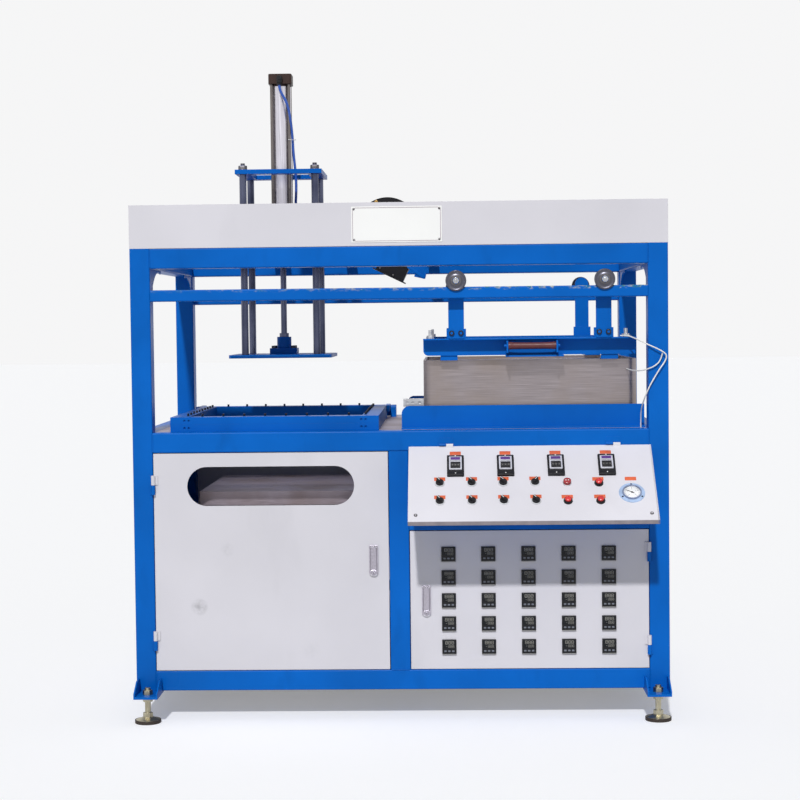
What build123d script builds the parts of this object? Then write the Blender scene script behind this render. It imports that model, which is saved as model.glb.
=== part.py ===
from build123d import *
import math
import os

# Floor-standing vacuum forming machine. Millimetres, X to the right, Y to the rear, Z up.
# The origin is on the floor, in the middle of the machine's box.

# ---- Frame ----
width = 1860.0
depth = 1120.0
base_height = 98.0
table_height = 1001.0
track_height = 1497.0
top_height = 1641.0
tube = 70.0
tube_wall = 3.0
tube_round = 5.0
track_tube = 40.0
bay_split = 890.0
sill_height = 724.0
sheet = 2.0
floor_sheet = 3.0
table_sheet = 6.0
clearance = 0.3
door_gap = 2.0

# ---- Feet ----
foot_reach = 110.0
foot_width = 83.0
foot_inset = 7.0
foot_plate = 8.0
foot_cheek = 5.0
foot_cheek_height = 52.0
stud_radius = 10.0
stud_reach = 60.0
stud_top = 122.0
nut_height = 16.0
pad_radius = 45.0
pad_height = 12.0
cup_height = 8.0

# ---- Fascia ----
fascia_height = 150.0
fascia_return = 40.0
plate_offset = 771.0
plate_width = 313.0
plate_height = 124.0
plate_sheet = 1.5

# ---- Forming bay ----
clamp_offset = 124.0
clamp_width = 732.0
clamp_front_gap = 60.0
clamp_depth = 855.0
clamp_bar = 60.0
clamp_layer = 25.5
hinge_gap = 75.0
pin_radius = 4.0
pin_height = 9.0
pin_pitch = 74.0
mould_margin = 28.0
mould_depth_margin = 20.0
mould_top = 782.0
mould_skirt = 49.0
mould_sheet = 8.0

# ---- Press ----
press_offset = 490.0
press_gap = 487.5
platen_width = 375.0
platen_depth = 380.0
platen_thickness = 12.0
platen_height = 1252.0
platen_round = 22.0
hub_width = 101.0
hub_height = 22.0
boss_radius = 26.5
boss_height = 42.0
rod_radius = 11.0
guide_radius = 13.0
guide_spacing = 263.0
guide_rows = 260.0
yoke_height = 1922.0
yoke_thickness = 16.0
yoke_margin = 13.5
bridge_beam = 60.0
bridge_plate = 16.0
bush_radius = 25.0
bush_height = 60.0
cylinder_radius = 37.0
cylinder_wall = 4.0
cylinder_cap = 86.0
cap_height = 38.0
cylinder_top = 2298.0

# ---- Heater ----
box_offset = 1013.0
box_length = 752.0
box_front_gap = 135.0
box_depth = 740.0
box_bottom = 1070.0
box_height = 171.0
box_lip = 8.0
box_round = 30.0
angle_inset = 1.0
angle_length = 742.0
angle_height = 60.0
angle_depth = 50.0
angle_gap = 50.0
angle_sheet = 5.0
angle_bottom = 1258.0
wheel_offsets = (117.0, 629.0)
wheel_radius = 21.0
flange_radius = 36.0
flange_thickness = 8.0
axle_radius = 6.0
hanger_width = 54.0
hanger_thickness = 8.0
hanger_gap = 6.0
hanger_top = 1550.0
grip_offset = 297.0
grip_length = 166.0
grip_radius = 13.0
grip_height = 1291.0

# ---- Console ----
console_reach = 262.0
console_top = 946.0
console_bottom = 714.0
console_margin = 1.0
console_sheet = 2.0
console_lip = 14.0
cheek_inset = 25.0

# Derived places
slope_length = math.hypot(console_reach, console_top - console_bottom)
slope_y = console_reach / slope_length
slope_z = (console_top - console_bottom) / slope_length
lid_gap = console_sheet * slope_z + clearance
left = -width / 2
right = width / 2
front = (console_reach + lid_gap - foot_reach - depth) / 2
rear = front + depth
in_left = left + tube
in_right = right - tube
in_front = front + tube
in_rear = rear - tube
mid_left = left + bay_split
mid_right = mid_left + tube
track_low = track_height - track_tube
bottom_top = base_height + tube


def block(x, y, z):
    """Rectangular block between a low and a high value along each of X, Y and Z."""
    with BuildPart() as body:
        with Locations((x[0], y[0], z[0])):
            Box(x[1] - x[0], y[1] - y[0], z[1] - z[0], align=(Align.MIN, Align.MIN, Align.MIN))
    return body.part


def square_tube(start, direction, length, side=tube, wall=tube_wall, cap=0.0):
    """Square tube that runs from start along direction, closed at its far end by cap."""
    with BuildPart() as body:
        with BuildSketch(Plane(origin=start, z_dir=direction)):
            RectangleRounded(side, side, tube_round)
        extrude(amount=length)
        with BuildSketch(Plane(origin=start, z_dir=direction)):
            Rectangle(side - 2 * wall, side - 2 * wall)
        extrude(amount=length - cap, mode=Mode.SUBTRACT)
    return body.part


def rod(start, direction, length, radius):
    """Round bar from start along direction."""
    with BuildPart() as body:
        with BuildSketch(Plane(origin=start, z_dir=direction)):
            Circle(radius)
        extrude(amount=length)
    return body.part


def hex_bolt(start, direction, across, height):
    """Hexagon of a bolt head or nut that stands on start along direction."""
    with BuildPart() as body:
        with BuildSketch(Plane(origin=start, z_dir=direction)):
            RegularPolygon(across / 2, 6, major_radius=False)
        extrude(amount=height)
    return body.part


def tube_ring(low_height):
    """Front, rear, left and right tubes between the corner posts, with their lower side at low_height."""
    middle = low_height + tube / 2
    span = in_right - in_left
    reach = in_rear - in_front
    return [
        square_tube((in_left, front + tube / 2, middle), (1, 0, 0), span),
        square_tube((in_left, rear - tube / 2, middle), (1, 0, 0), span),
        square_tube((left + tube / 2, in_front, middle), (0, 1, 0), reach),
        square_tube((right - tube / 2, in_front, middle), (0, 1, 0), reach),
    ]


def joined(*pieces):
    """Pieces of one node, side by side, with each solid kept apart."""
    return Compound(children=[solid for piece in pieces for solid in piece.solids()])


os.makedirs("parts", exist_ok=True)

# ---- Welded frame ----
with BuildPart() as corner_posts:
    for x in (left + tube / 2, right - tube / 2):
        for y in (front + tube / 2, rear - tube / 2):
            add(square_tube((x, y, base_height), (0, 0, 1), top_height - base_height, cap=tube_wall))

with BuildPart() as mid_posts:
    mid_length = table_height - tube - bottom_top
    for y in (front + tube / 2, rear - tube / 2):
        add(square_tube((mid_left + tube / 2, y, bottom_top), (0, 0, 1), mid_length))

frame_posts = joined(corner_posts.part, mid_posts.part)
frame_posts.label = "frame_posts"
export_step(frame_posts, "parts/frame_posts.step")

with BuildPart() as bottom_rails:
    add(tube_ring(base_height))

with BuildPart() as table_rails:
    add(tube_ring(table_height - tube))

with BuildPart() as top_rails:
    add(tube_ring(top_height - tube))

with BuildPart() as middle_rails:
    for z in (base_height + tube / 2, table_height - table_sheet - tube / 2):
        add(square_tube((mid_left + tube / 2, in_front, z), (0, 1, 0), in_rear - in_front))

with BuildPart() as sill_rail:
    sill_start = (mid_right, front + tube / 2, sill_height - tube / 2)
    add(square_tube(sill_start, (1, 0, 0), in_right - mid_right))

frame_rails = joined(bottom_rails.part, table_rails.part, top_rails.part, middle_rails.part, sill_rail.part)
frame_rails.label = "frame_rails"
export_step(frame_rails, "parts/frame_rails.step")

with BuildPart() as track_tubes:
    for y in (front + track_tube / 2, rear - track_tube / 2):
        track_start = (in_left, y, track_low + track_tube / 2)
        add(square_tube(track_start, (1, 0, 0), in_right - in_left, track_tube))

# Curved webs that brace each corner post to its upper side rail
gusset_sheet = 6.0
gusset_length = 200.0
gusset_drop = 65.0
gusset_land = 12.0
with BuildPart() as corner_gussets:
    for x in (in_left - gusset_sheet - 4, in_right + 4):
        for corner, way in ((in_front, 1), (in_rear, -1)):
            top = top_height - tube
            with BuildSketch(Plane(origin=(x, corner, top), x_dir=(0, way, 0), z_dir=(1, 0, 0))) as web:
                with BuildLine():
                    Line((0, 0), (gusset_length, 0))
                    Line((gusset_length, 0), (gusset_length, -gusset_land * way))
                    ThreePointArc(
                        (gusset_length, -gusset_land * way),
                        (gusset_length * 0.30, -gusset_drop * 0.45 * way),
                        (gusset_land, -gusset_drop * way),
                    )
                    Line((gusset_land, -gusset_drop * way), (0, -gusset_drop * way))
                    Line((0, -gusset_drop * way), (0, 0))
                make_face()
            extrude(web.sketch, amount=gusset_sheet)
heater_tracks = joined(track_tubes.part, corner_gussets.part)
heater_tracks.label = "heater_tracks"
export_step(heater_tracks, "parts/heater_tracks.step")

# ---- Sheets of the cabinet ----
with BuildPart() as floor_panels:
    add(block((in_left, mid_left), (in_front, in_rear), (bottom_top - floor_sheet, bottom_top)))
    add(block((mid_right, in_right), (in_front, in_rear), (bottom_top - floor_sheet, bottom_top)))

panel_inset = 10.0
panel_low = bottom_top
panel_high = table_height - tube
with BuildPart() as side_panels:
    for x in (left + panel_inset, right - panel_inset - sheet):
        add(block((x, x + sheet), (in_front, in_rear), (panel_low, panel_high)))

panel_back = rear - panel_inset
with BuildPart() as rear_panels:
    for x in ((in_left, mid_left), (mid_right, in_right)):
        add(block(x, (panel_back - sheet, panel_back), (panel_low, panel_high)))

cabinet_panels = joined(floor_panels.part, side_panels.part, rear_panels.part)
cabinet_panels.label = "cabinet_panels"
export_step(cabinet_panels, "parts/cabinet_panels.step")

# Fascia: a folded sheet on the front top rail, with a plain plate screwed to it
fascia_top = top_height + fascia_height
fascia_depth = (front, front + fascia_return)
with BuildPart() as fascia:
    add(block((left, right), (front, front + sheet), (top_height, fascia_top)))
    add(block((left, right), fascia_depth, (fascia_top - sheet, fascia_top)))
    add(block((left, right), fascia_depth, (top_height, top_height + sheet)))
    for x in (left, right - sheet):
        add(block((x, x + sheet), fascia_depth, (top_height, fascia_top)))
fascia.part.label = "fascia_panel"
export_step(fascia.part, "parts/fascia_panel.step")

plate_left = left + plate_offset
plate_low = top_height + (fascia_height - plate_height) / 2 - 1
plate_screw_inset = 9.0
plate_screw_radius = 3.5
with BuildPart() as name_plate:
    plate_centre = (plate_left + plate_width / 2, front, plate_low + plate_height / 2)
    with BuildSketch(Plane(origin=plate_centre, x_dir=(1, 0, 0), z_dir=(0, -1, 0))):
        RectangleRounded(plate_width, plate_height, 2)
    extrude(amount=plate_sheet)
    with BuildSketch(Plane(origin=plate_centre, x_dir=(1, 0, 0), z_dir=(0, -1, 0))):
        screw_x = plate_width - 2 * plate_screw_inset
        screw_z = plate_height - 2 * plate_screw_inset
        with GridLocations(screw_x, screw_z, 2, 2):
            Circle(plate_screw_radius)
    extrude(amount=plate_sheet + 1.2)
name_plate.part.label = "name_plate"
export_step(name_plate.part, "parts/name_plate.step")

# ---- Feet ----
foot_places = []
for way_x, side_x in ((1, left), (-1, right)):
    for way_y, side_y in ((-1, front), (1, rear)):
        foot_places.append((side_x, way_x, side_y, way_y))


def span(a, b):
    """The pair of values in rising order."""
    return (min(a, b), max(a, b))


def foot_centre(side_x, way_x):
    """X of a foot's stud."""
    return side_x + way_x * (foot_inset + foot_width / 2)


with BuildPart() as foot_brackets:
    for side_x, way_x, side_y, way_y in foot_places:
        near = side_x + way_x * foot_inset
        far = near + way_x * foot_width
        tip = side_y + way_y * foot_reach
        plate_z = (base_height - foot_plate, base_height)
        add(block(span(near, far), span(side_y - way_y * tube, tip), plate_z))
        for x in (near, far - way_x * foot_cheek):
            start = min(x, x + way_x * foot_cheek)
            with BuildSketch(Plane(origin=(start, side_y, base_height), x_dir=(0, 1, 0),
                                   z_dir=(1, 0, 0))) as cheek:
                with BuildLine():
                    Polyline(
                        (0, 0),
                        (way_y * foot_reach, 0),
                        (way_y * foot_reach, 10),
                        (way_y * foot_reach * 0.45, foot_cheek_height - 8),
                        (0, foot_cheek_height - 8),
                        close=True,
                    )
                make_face()
            extrude(cheek.sketch, amount=foot_cheek)
    for side_x, way_x, side_y, way_y in foot_places:
        stud_place = (foot_centre(side_x, way_x), side_y + way_y * stud_reach, base_height - foot_plate)
        add(rod(stud_place, (0, 0, 1), foot_plate, stud_radius + 0.5), mode=Mode.SUBTRACT)
foot_brackets.part.label = "foot_brackets"
export_step(foot_brackets.part, "parts/foot_brackets.step")

with BuildPart() as stud_bolts:
    for side_x, way_x, side_y, way_y in foot_places:
        x, y = foot_centre(side_x, way_x), side_y + way_y * stud_reach
        stud_low = pad_height + 4
        add(rod((x, y, stud_low), (0, 0, 1), stud_top - stud_low, stud_radius))
        for z in (pad_height + cup_height, base_height - foot_plate - nut_height, base_height):
            add(hex_bolt((x, y, z), (0, 0, 1), 3 * stud_radius, nut_height))

with BuildPart() as foot_pads:
    for side_x, way_x, side_y, way_y in foot_places:
        add(rod((foot_centre(side_x, way_x), side_y + way_y * stud_reach, 0), (0, 0, 1), pad_height,
                pad_radius))
    chamfer(foot_pads.edges().group_by(Axis.Z)[0], 1.5)
foot_pads.part.label = "foot_pads"
export_step(foot_pads.part, "parts/foot_pads.step")

with BuildPart() as foot_cups:
    for side_x, way_x, side_y, way_y in foot_places:
        centre = (foot_centre(side_x, way_x), side_y + way_y * stud_reach, pad_height)
        with BuildSketch(Plane(origin=centre)) as wide:
            Circle(pad_radius - 3)
        with BuildSketch(Plane(origin=centre).offset(cup_height)) as narrow:
            Circle(stud_radius * 2)
        loft([wide.sketch.face(), narrow.sketch.face()])
    for side_x, way_x, side_y, way_y in foot_places:
        centre = (foot_centre(side_x, way_x), side_y + way_y * stud_reach, pad_height + 4)
        add(rod(centre, (0, 0, 1), cup_height, stud_radius), mode=Mode.SUBTRACT)

foot_studs = joined(stud_bolts.part, foot_cups.part)
foot_studs.label = "foot_studs"
export_step(foot_studs, "parts/foot_studs.step")

# ---- Table ----
clamp_left = left + clamp_offset
clamp_right = clamp_left + clamp_width
clamp_front = front + clamp_front_gap
clamp_back = clamp_front + clamp_depth
clamp_x = (clamp_left + clamp_right) / 2
clamp_y = (clamp_front + clamp_back) / 2
clamp_low = table_height
clamp_split = clamp_low + clamp_layer
clamp_top = clamp_split + clamp_layer

with BuildPart() as table_plate:
    add(block((in_left, in_right), (in_front, in_rear), (table_height - table_sheet, table_height)))
    hole_x = (clamp_left + clamp_bar, clamp_right - clamp_bar)
    hole_y = (clamp_front + clamp_bar, clamp_back - clamp_bar)
    add(block(hole_x, hole_y, (table_height - table_sheet, table_height)), mode=Mode.SUBTRACT)
table_plate.part.label = "table_plate"
export_step(table_plate.part, "parts/table_plate.step")

apron_left = left + 935.0
apron_height = 81.0
apron_front_gap = 115.0
apron_rear_gap = 120.0
apron_sheet = 5.0
apron_foot = 32.0
apron_round = 28.0
apron_right = in_right - door_gap
with BuildPart() as aprons:
    for y, way in ((front + apron_front_gap, -1), (rear - apron_rear_gap, 1)):
        face_y = y if way < 0 else y - apron_sheet
        with BuildSketch(Plane(origin=(0, face_y + apron_sheet, table_height), x_dir=(1, 0, 0),
                               z_dir=(0, -1, 0))) as web:
            with BuildLine():
                Line((apron_left, 0), (apron_right, 0))
                Line((apron_right, 0), (apron_right, apron_height))
                Line((apron_right, apron_height), (apron_left + apron_round, apron_height))
                RadiusArc((apron_left + apron_round, apron_height),
                          (apron_left, apron_height - apron_round), -apron_round)
                Line((apron_left, apron_height - apron_round), (apron_left, 0))
            make_face()
        extrude(web.sketch, amount=apron_sheet)
        add(block((apron_left, apron_right), span(y, y + way * apron_foot),
                  (table_height, table_height + apron_sheet)))
aprons.part.label = "heater_aprons"
export_step(aprons.part, "parts/heater_aprons.step")

# ---- Clamp frame, lower half ----
screw_head = 4.0
screw_row = (50.0, 65.0)


def bar_frame(low, high):
    """Rectangular frame of four flat bars, with the bolt heads' pockets in its front bar."""
    with BuildPart() as bars:
        add(block((clamp_left, clamp_right), (clamp_front, clamp_back), (low, high)))
        hole = block(hole_x, hole_y, (low, high))
        add(hole, mode=Mode.SUBTRACT)
        middle = (low + high) / 2
        for place in screw_row:
            for x in (clamp_left + place, clamp_right - place + 4):
                add(rod((x, clamp_front, middle), (0, 1, 0), 5, screw_head), mode=Mode.SUBTRACT)
    return bars.part


with BuildPart() as clamp_lower:
    add(bar_frame(clamp_low, clamp_split))

# Bearing blocks behind the frame carry the pins that the upper half turns on
hinge_y = clamp_back + hinge_gap
hinge_z = table_height + 26.0
hinge_boss = 24.0
block_width = 22.0
block_depth = 76.0
block_height = 46.0
arm_width = 16.0
pin_fit = 0.05
hinge_pin_radius = 9.0
hinge_ends = ((clamp_left - block_width - 13, -1), (clamp_right + 13, 1))
with BuildPart() as clamp_blocks:
    for x, way in hinge_ends:
        add(block((x, x + block_width), (hinge_y - block_depth / 2, hinge_y + block_depth / 2),
                  (table_height, table_height + block_height)))
        length = block_width + arm_width + 2
        start = x + block_width if way > 0 else x
        add(rod((start, hinge_y, hinge_z), (-way, 0, 0), length, hinge_pin_radius))
    fillet(clamp_blocks.edges().filter_by(Axis.X).group_by(Axis.Z)[-1], 10)
clamp_lower_frame = joined(clamp_lower.part, clamp_blocks.part)
clamp_lower_frame.label = "clamp_lower_frame"
export_step(clamp_lower_frame, "parts/clamp_lower_frame.step")

# ---- Clamp frame, upper half: turns on the pins behind it ----
arm_gap = 0.5
with BuildPart() as clamp_upper:
    add(bar_frame(clamp_split, clamp_top))
    for x, way in hinge_ends:
        inner = (x - arm_gap - arm_width) if way > 0 else (x + block_width + arm_gap)
        bar_edge = clamp_right if way > 0 else clamp_left
        add(block((inner, inner + arm_width), (clamp_back - clamp_bar, hinge_y), (clamp_split, clamp_top)))
        add(block(span(bar_edge - way * 6, inner + arm_width / 2), (clamp_back - clamp_bar, clamp_back),
                  (clamp_split, clamp_top)))
        add(rod((inner, hinge_y, hinge_z), (1, 0, 0), arm_width, hinge_boss))
    for x, way in hinge_ends:
        inner = (x - arm_gap - arm_width) if way > 0 else (x + block_width + arm_gap)
        bore_start = (inner, hinge_y, hinge_z)
        add(rod(bore_start, (1, 0, 0), arm_width, hinge_pin_radius + pin_fit), mode=Mode.SUBTRACT)
clamp_upper.part.label = "clamp_upper_frame"
export_step(clamp_upper.part, "parts/clamp_upper_frame.step")

pin_edge = 10.0
with BuildPart() as clamp_pins:
    with BuildSketch(Plane.XY.offset(clamp_top)):
        for y in (hole_y[0] - pin_edge, hole_y[1] + pin_edge):
            with Locations((clamp_x, y)):
                with GridLocations(pin_pitch, 1, 8, 1):
                    Circle(pin_radius)
        for x in (hole_x[0] - pin_edge, hole_x[1] + pin_edge):
            with Locations((x, clamp_y)):
                with GridLocations(1, pin_pitch, 1, 10):
                    Circle(pin_radius)
    extrude(amount=pin_height)
clamp_pins.part.label = "clamp_pins"
export_step(clamp_pins.part, "parts/clamp_pins.step")

# ---- Press bridge and cylinder ----
press_x = left + press_offset
press_y = front + press_gap
beam_spread = 120.0
bridge_top = top_height + bridge_beam + bridge_plate
bridge_margin = 40.0
guide_places = [
    (press_x + sx * guide_spacing / 2, press_y + sy * guide_rows / 2) for sx in (-1, 1) for sy in (-1, 1)
]
with BuildPart() as bridge_beams:
    for x in (press_x - beam_spread / 2, press_x + beam_spread / 2):
        add(square_tube((x, front + fascia_return, top_height + bridge_beam / 2), (0, 1, 0),
                        depth - fascia_return, bridge_beam))

with BuildPart() as bridge_plate_part:
    plate_x = guide_spacing / 2 + bridge_margin
    plate_y = guide_rows / 2 + bridge_margin
    add(block((press_x - plate_x, press_x + plate_x), (press_y - plate_y, press_y + plate_y),
              (bridge_top - bridge_plate, bridge_top)))
    for x, y in guide_places:
        add(rod((x, y, bridge_top - bridge_plate), (0, 0, 1), bridge_plate, bush_radius),
            mode=Mode.SUBTRACT)
    add(rod((press_x, press_y, bridge_top - bridge_plate), (0, 0, 1), bridge_plate, rod_radius + 2),
        mode=Mode.SUBTRACT)

with BuildPart() as guide_bushes:
    bush_flange = 6.0
    for x, y in guide_places:
        add(rod((x, y, bridge_top - bush_height / 2), (0, 0, 1), bush_height, bush_radius))
        add(rod((x, y, bridge_top), (0, 0, 1), bush_flange, bush_radius + 9))
    for x, y in guide_places:
        bore_start = (x, y, bridge_top - bush_height / 2)
        add(rod(bore_start, (0, 0, 1), bush_height, guide_radius + pin_fit), mode=Mode.SUBTRACT)

press_bridge = joined(bridge_beams.part, bridge_plate_part.part, guide_bushes.part)
press_bridge.label = "press_bridge"
export_step(press_bridge, "parts/press_bridge.step")

cap_low = bridge_top
tube_low = cap_low + cap_height
tube_high = cylinder_top - cap_height
cap_round = 10.0
piston_height = 24.0
press_down = 170.0


def cylinder_end(low, bore):
    """Square end cap of the press cylinder."""
    with BuildPart() as cap:
        with BuildSketch(Plane(origin=(press_x, press_y, low))):
            RectangleRounded(cylinder_cap, cylinder_cap, cap_round)
        extrude(amount=cap_height)
        if bore:
            add(rod((press_x, press_y, low), (0, 0, 1), cap_height, bore), mode=Mode.SUBTRACT)
    return cap.part


with BuildPart() as cylinder_tube:
    add(rod((press_x, press_y, tube_low), (0, 0, 1), tube_high - tube_low, cylinder_radius))
    add(rod((press_x, press_y, tube_low), (0, 0, 1), tube_high - tube_low,
            cylinder_radius - cylinder_wall), mode=Mode.SUBTRACT)

# ---- Press slide ----
platen_top = platen_height + platen_thickness
with BuildPart() as platen_sheet:
    with BuildSketch(Plane(origin=(press_x, press_y, platen_height))):
        RectangleRounded(platen_width, platen_depth, platen_round)
    extrude(amount=platen_thickness)

hub_top = platen_top + hub_height
hub_bolt = 36.0
with BuildPart() as press_hub:
    with BuildSketch(Plane(origin=(press_x, press_y, platen_top))):
        RectangleRounded(hub_width, hub_width, 8)
    extrude(amount=hub_height)
    add(rod((press_x, press_y, hub_top), (0, 0, 1), boss_height, boss_radius))
    for sx in (-1, 1):
        for sy in (-1, 1):
            add(rod((press_x + sx * hub_bolt, press_y + sy * hub_bolt, hub_top), (0, 0, 1), 9, 8))

press_platen = joined(platen_sheet.part, press_hub.part)
press_platen.label = "press_platen"
export_step(press_platen, "parts/press_platen.step")

boss_top = hub_top + boss_height
with BuildPart() as press_rod:
    rod_length = tube_low + piston_height + press_down + 6 - boss_top
    add(rod((press_x, press_y, boss_top), (0, 0, 1), rod_length, rod_radius))
    add(hex_bolt((press_x, press_y, boss_top), (0, 0, 1), 30, 14))
    piston_low = boss_top + rod_length - piston_height
    add(rod((press_x, press_y, piston_low), (0, 0, 1), piston_height,
            cylinder_radius - cylinder_wall - pin_fit))

yoke_top = yoke_height + yoke_thickness
with BuildPart() as guide_rods:
    for x, y in guide_places:
        add(rod((x, y, platen_top), (0, 0, 1), yoke_height - platen_top, guide_radius))
        add(rod((x, y, yoke_height), (0, 0, 1), yoke_thickness + 23, guide_radius - 5))

press_rods = joined(press_rod.part, guide_rods.part)
press_rods.label = "press_rods"
export_step(press_rods, "parts/press_rods.step")

with BuildPart() as guide_yoke:
    yoke_x = guide_spacing / 2 + guide_radius + yoke_margin
    yoke_y = guide_rows / 2 + guide_radius + yoke_margin
    yoke_bar = 2 * (guide_radius + yoke_margin)
    add(block((press_x - yoke_x, press_x + yoke_x), (press_y - yoke_y, press_y + yoke_y),
              (yoke_height, yoke_top)))
    hole_half_x = yoke_x - yoke_bar
    hole_half_y = yoke_y - yoke_bar
    add(block((press_x - hole_half_x, press_x + hole_half_x),
              (press_y - hole_half_y, press_y + hole_half_y),
              (yoke_height, yoke_top)), mode=Mode.SUBTRACT)
    for x, y in guide_places:
        add(hex_bolt((x, y, yoke_top), (0, 0, 1), 27, 15))
    for x, y in guide_places:
        add(rod((x, y, yoke_height), (0, 0, 1), 60, guide_radius - 5), mode=Mode.SUBTRACT)
guide_yoke.part.label = "guide_yoke"
export_step(guide_yoke.part, "parts/guide_yoke.step")

# ---- Cooling blower: snail housing with a slanted outlet, wheel inside ----
blower_x = left + 865.0
blower_y = front + 487.0
blower_z = 1727.0
tongue_radius = 86.0
volute_turn = 270.0
volute_growth = 1.7
volute_arcs = 6
blower_width = 84.0
blower_wall = 2.5
blower_eye = 50.0
duct_turn = math.radians(26)
duct_reach = 152.0
duct_inner = 40.0
duct_outer = 151.0
duct_flange = 11.0
duct_flange_side = 8.0
duct_flange_sheet = 4.0
wheel_gap = 24.0
shaft_radius = 7.0
blower_front = blower_y - blower_width / 2


def duct_plane(y):
    """Upright plane at the blower's axis, turned so that its own downward way is the outlet's."""
    across = (math.cos(duct_turn), 0, -math.sin(duct_turn))
    return Plane(origin=(blower_x, y, blower_z), x_dir=across, z_dir=(0, -1, 0))


def volute_point(turn, inset):
    """Point of the spiral wall, clockwise from the outlet's inner side, as its radius grows."""
    growth = (max(turn, 0) / volute_turn) ** volute_growth
    radius = tongue_radius + (duct_outer - tongue_radius) * growth - inset
    angle = math.radians(-90 - turn)
    return (radius * math.cos(angle), radius * math.sin(angle))


def snail(inset, low, high, reach):
    """Volute and its outlet duct in one outline, from y low to y high, drawn in by inset."""
    with BuildPart() as body:
        with BuildSketch(duct_plane(high)):
            with BuildLine():
                tongue_turn = -math.degrees(math.asin((duct_inner + inset) / (tongue_radius - inset)))
                step = volute_turn / volute_arcs
                turns = [tongue_turn] + [index * step for index in range(volute_arcs + 1)]
                for start, end in zip(turns, turns[1:]):
                    ThreePointArc(*[volute_point(turn, inset) for turn in (start, (start + end) / 2, end)])
                inner_x = duct_inner + inset
                outer_x = duct_outer - inset
                Line(volute_point(volute_turn, inset), (outer_x, -reach))
                Line((outer_x, -reach), (inner_x, -reach))
                Line((inner_x, -reach), volute_point(tongue_turn, inset))
            make_face()
        extrude(amount=high - low)
    return body.part


with BuildPart() as blower_shell:
    blower_back = blower_front + blower_width
    add(snail(0, blower_front, blower_back, duct_reach))
    with BuildSketch(duct_plane(blower_back + duct_flange_side)) as duct_lip:
        with Locations(((duct_inner + duct_outer) / 2, -duct_reach + duct_flange_sheet / 2)):
            Rectangle(duct_outer - duct_inner + 2 * duct_flange, duct_flange_sheet)
    extrude(duct_lip.sketch, amount=blower_width + 2 * duct_flange_side)
    cavity = snail(blower_wall, blower_front + blower_wall, blower_back - blower_wall, duct_reach + 1)
    add(cavity, mode=Mode.SUBTRACT)
    eye_start = (blower_x, blower_front, blower_z)
    add(rod(eye_start, (0, 1, 0), blower_wall, blower_eye), mode=Mode.SUBTRACT)
    back_start = (blower_x, blower_back - blower_wall, blower_z)
    add(rod(back_start, (0, 1, 0), blower_wall, shaft_radius + 3), mode=Mode.SUBTRACT)

blade_count = 24
wheel_outer = 74.0
with BuildPart() as blower_wheel:
    disc_y = blower_front + blower_width - blower_wall - 6
    wheel_plane = Plane(origin=(blower_x, disc_y, blower_z), x_dir=(1, 0, 0), z_dir=(0, -1, 0))
    with BuildSketch(wheel_plane):
        Circle(wheel_outer)
    extrude(amount=2)
    with BuildSketch(wheel_plane):
        with PolarLocations(wheel_outer - 9, blade_count):
            Rectangle(16, 1.6, rotation=35)
    extrude(amount=blower_width - 2 * blower_wall - wheel_gap)
    rim_plane = wheel_plane.offset(blower_width - 2 * blower_wall - wheel_gap)
    with BuildSketch(rim_plane):
        Circle(wheel_outer)
        Circle(wheel_outer - 18, mode=Mode.SUBTRACT)
    extrude(amount=2)
    with BuildSketch(wheel_plane):
        Circle(shaft_radius + 8)
    extrude(amount=30)
    add(rod((blower_x, disc_y + 6 + blower_wall + 20, blower_z), (0, -1, 0), blower_wall + 50,
            shaft_radius))
blower_wheel.part.label = "blower_wheel"
export_step(blower_wheel.part, "parts/blower_wheel.step")

motor_length = 150.0
motor_radius = 62.0
motor_y = blower_front + blower_width
mount_beam = 40.0
mount_left = blower_x - 175.0
mount_right = blower_x + 195.0
mount_plate = 8.0
plate_rise = 90.0
with BuildPart() as blower_motor:
    add(rod((blower_x, motor_y + mount_plate, blower_z), (0, 1, 0), motor_length, motor_radius))
    add(rod((blower_x, motor_y + mount_plate, blower_z), (0, 1, 0), 30, shaft_radius + 0.05),
        mode=Mode.SUBTRACT)
    add(block((blower_x - 30, blower_x + 30), (motor_y + 50, motor_y + 110),
              (blower_z + motor_radius - 5, blower_z + motor_radius + 25)))

blower_housing = joined(blower_shell.part, blower_motor.part)
blower_housing.label = "blower_housing"
export_step(blower_housing, "parts/blower_housing.step")

with BuildPart() as blower_beams:
    for x in (mount_left, mount_right - mount_beam):
        add(square_tube((x + mount_beam / 2, front + fascia_return, top_height + mount_beam / 2), (0, 1, 0),
                        depth - fascia_return, mount_beam))

with BuildPart() as blower_plate:
    add(block((mount_left, mount_right), (motor_y, motor_y + mount_plate),
              (top_height + mount_beam, blower_z + plate_rise)))
    add(rod((blower_x, motor_y, blower_z), (0, 1, 0), mount_plate, shaft_radius + 3), mode=Mode.SUBTRACT)

blower_bracket = joined(blower_beams.part, blower_plate.part)
blower_bracket.label = "blower_bracket"
export_step(blower_bracket, "parts/blower_bracket.step")

# ---- Vacuum tank, pump and pipe on the cabinet floor ----
tank_radius = 150.0
tank_wall = 4.0
tank_left = left + 150.0
tank_length = 680.0
tank_y = front + 870.0
tank_z = bottom_top + 20 + tank_radius
saddle = 10.0
tank_round = 40.0


def tank_drum(inset):
    """Round-ended drum, drawn in all over by inset."""
    with BuildPart() as drum:
        add(rod((tank_left + inset, tank_y, tank_z), (1, 0, 0), tank_length - 2 * inset,
                tank_radius - inset))
        fillet(drum.edges().filter_by(GeomType.CIRCLE), tank_round - inset)
    return drum.part


with BuildPart() as tank_shell:
    add(tank_drum(0))
    add(tank_drum(tank_wall), mode=Mode.SUBTRACT)
    for x in (tank_left + 90, tank_left + tank_length - 90 - saddle):
        add(block((x, x + saddle), (tank_y - 110, tank_y + 110), (bottom_top, tank_z - 100)))

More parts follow.
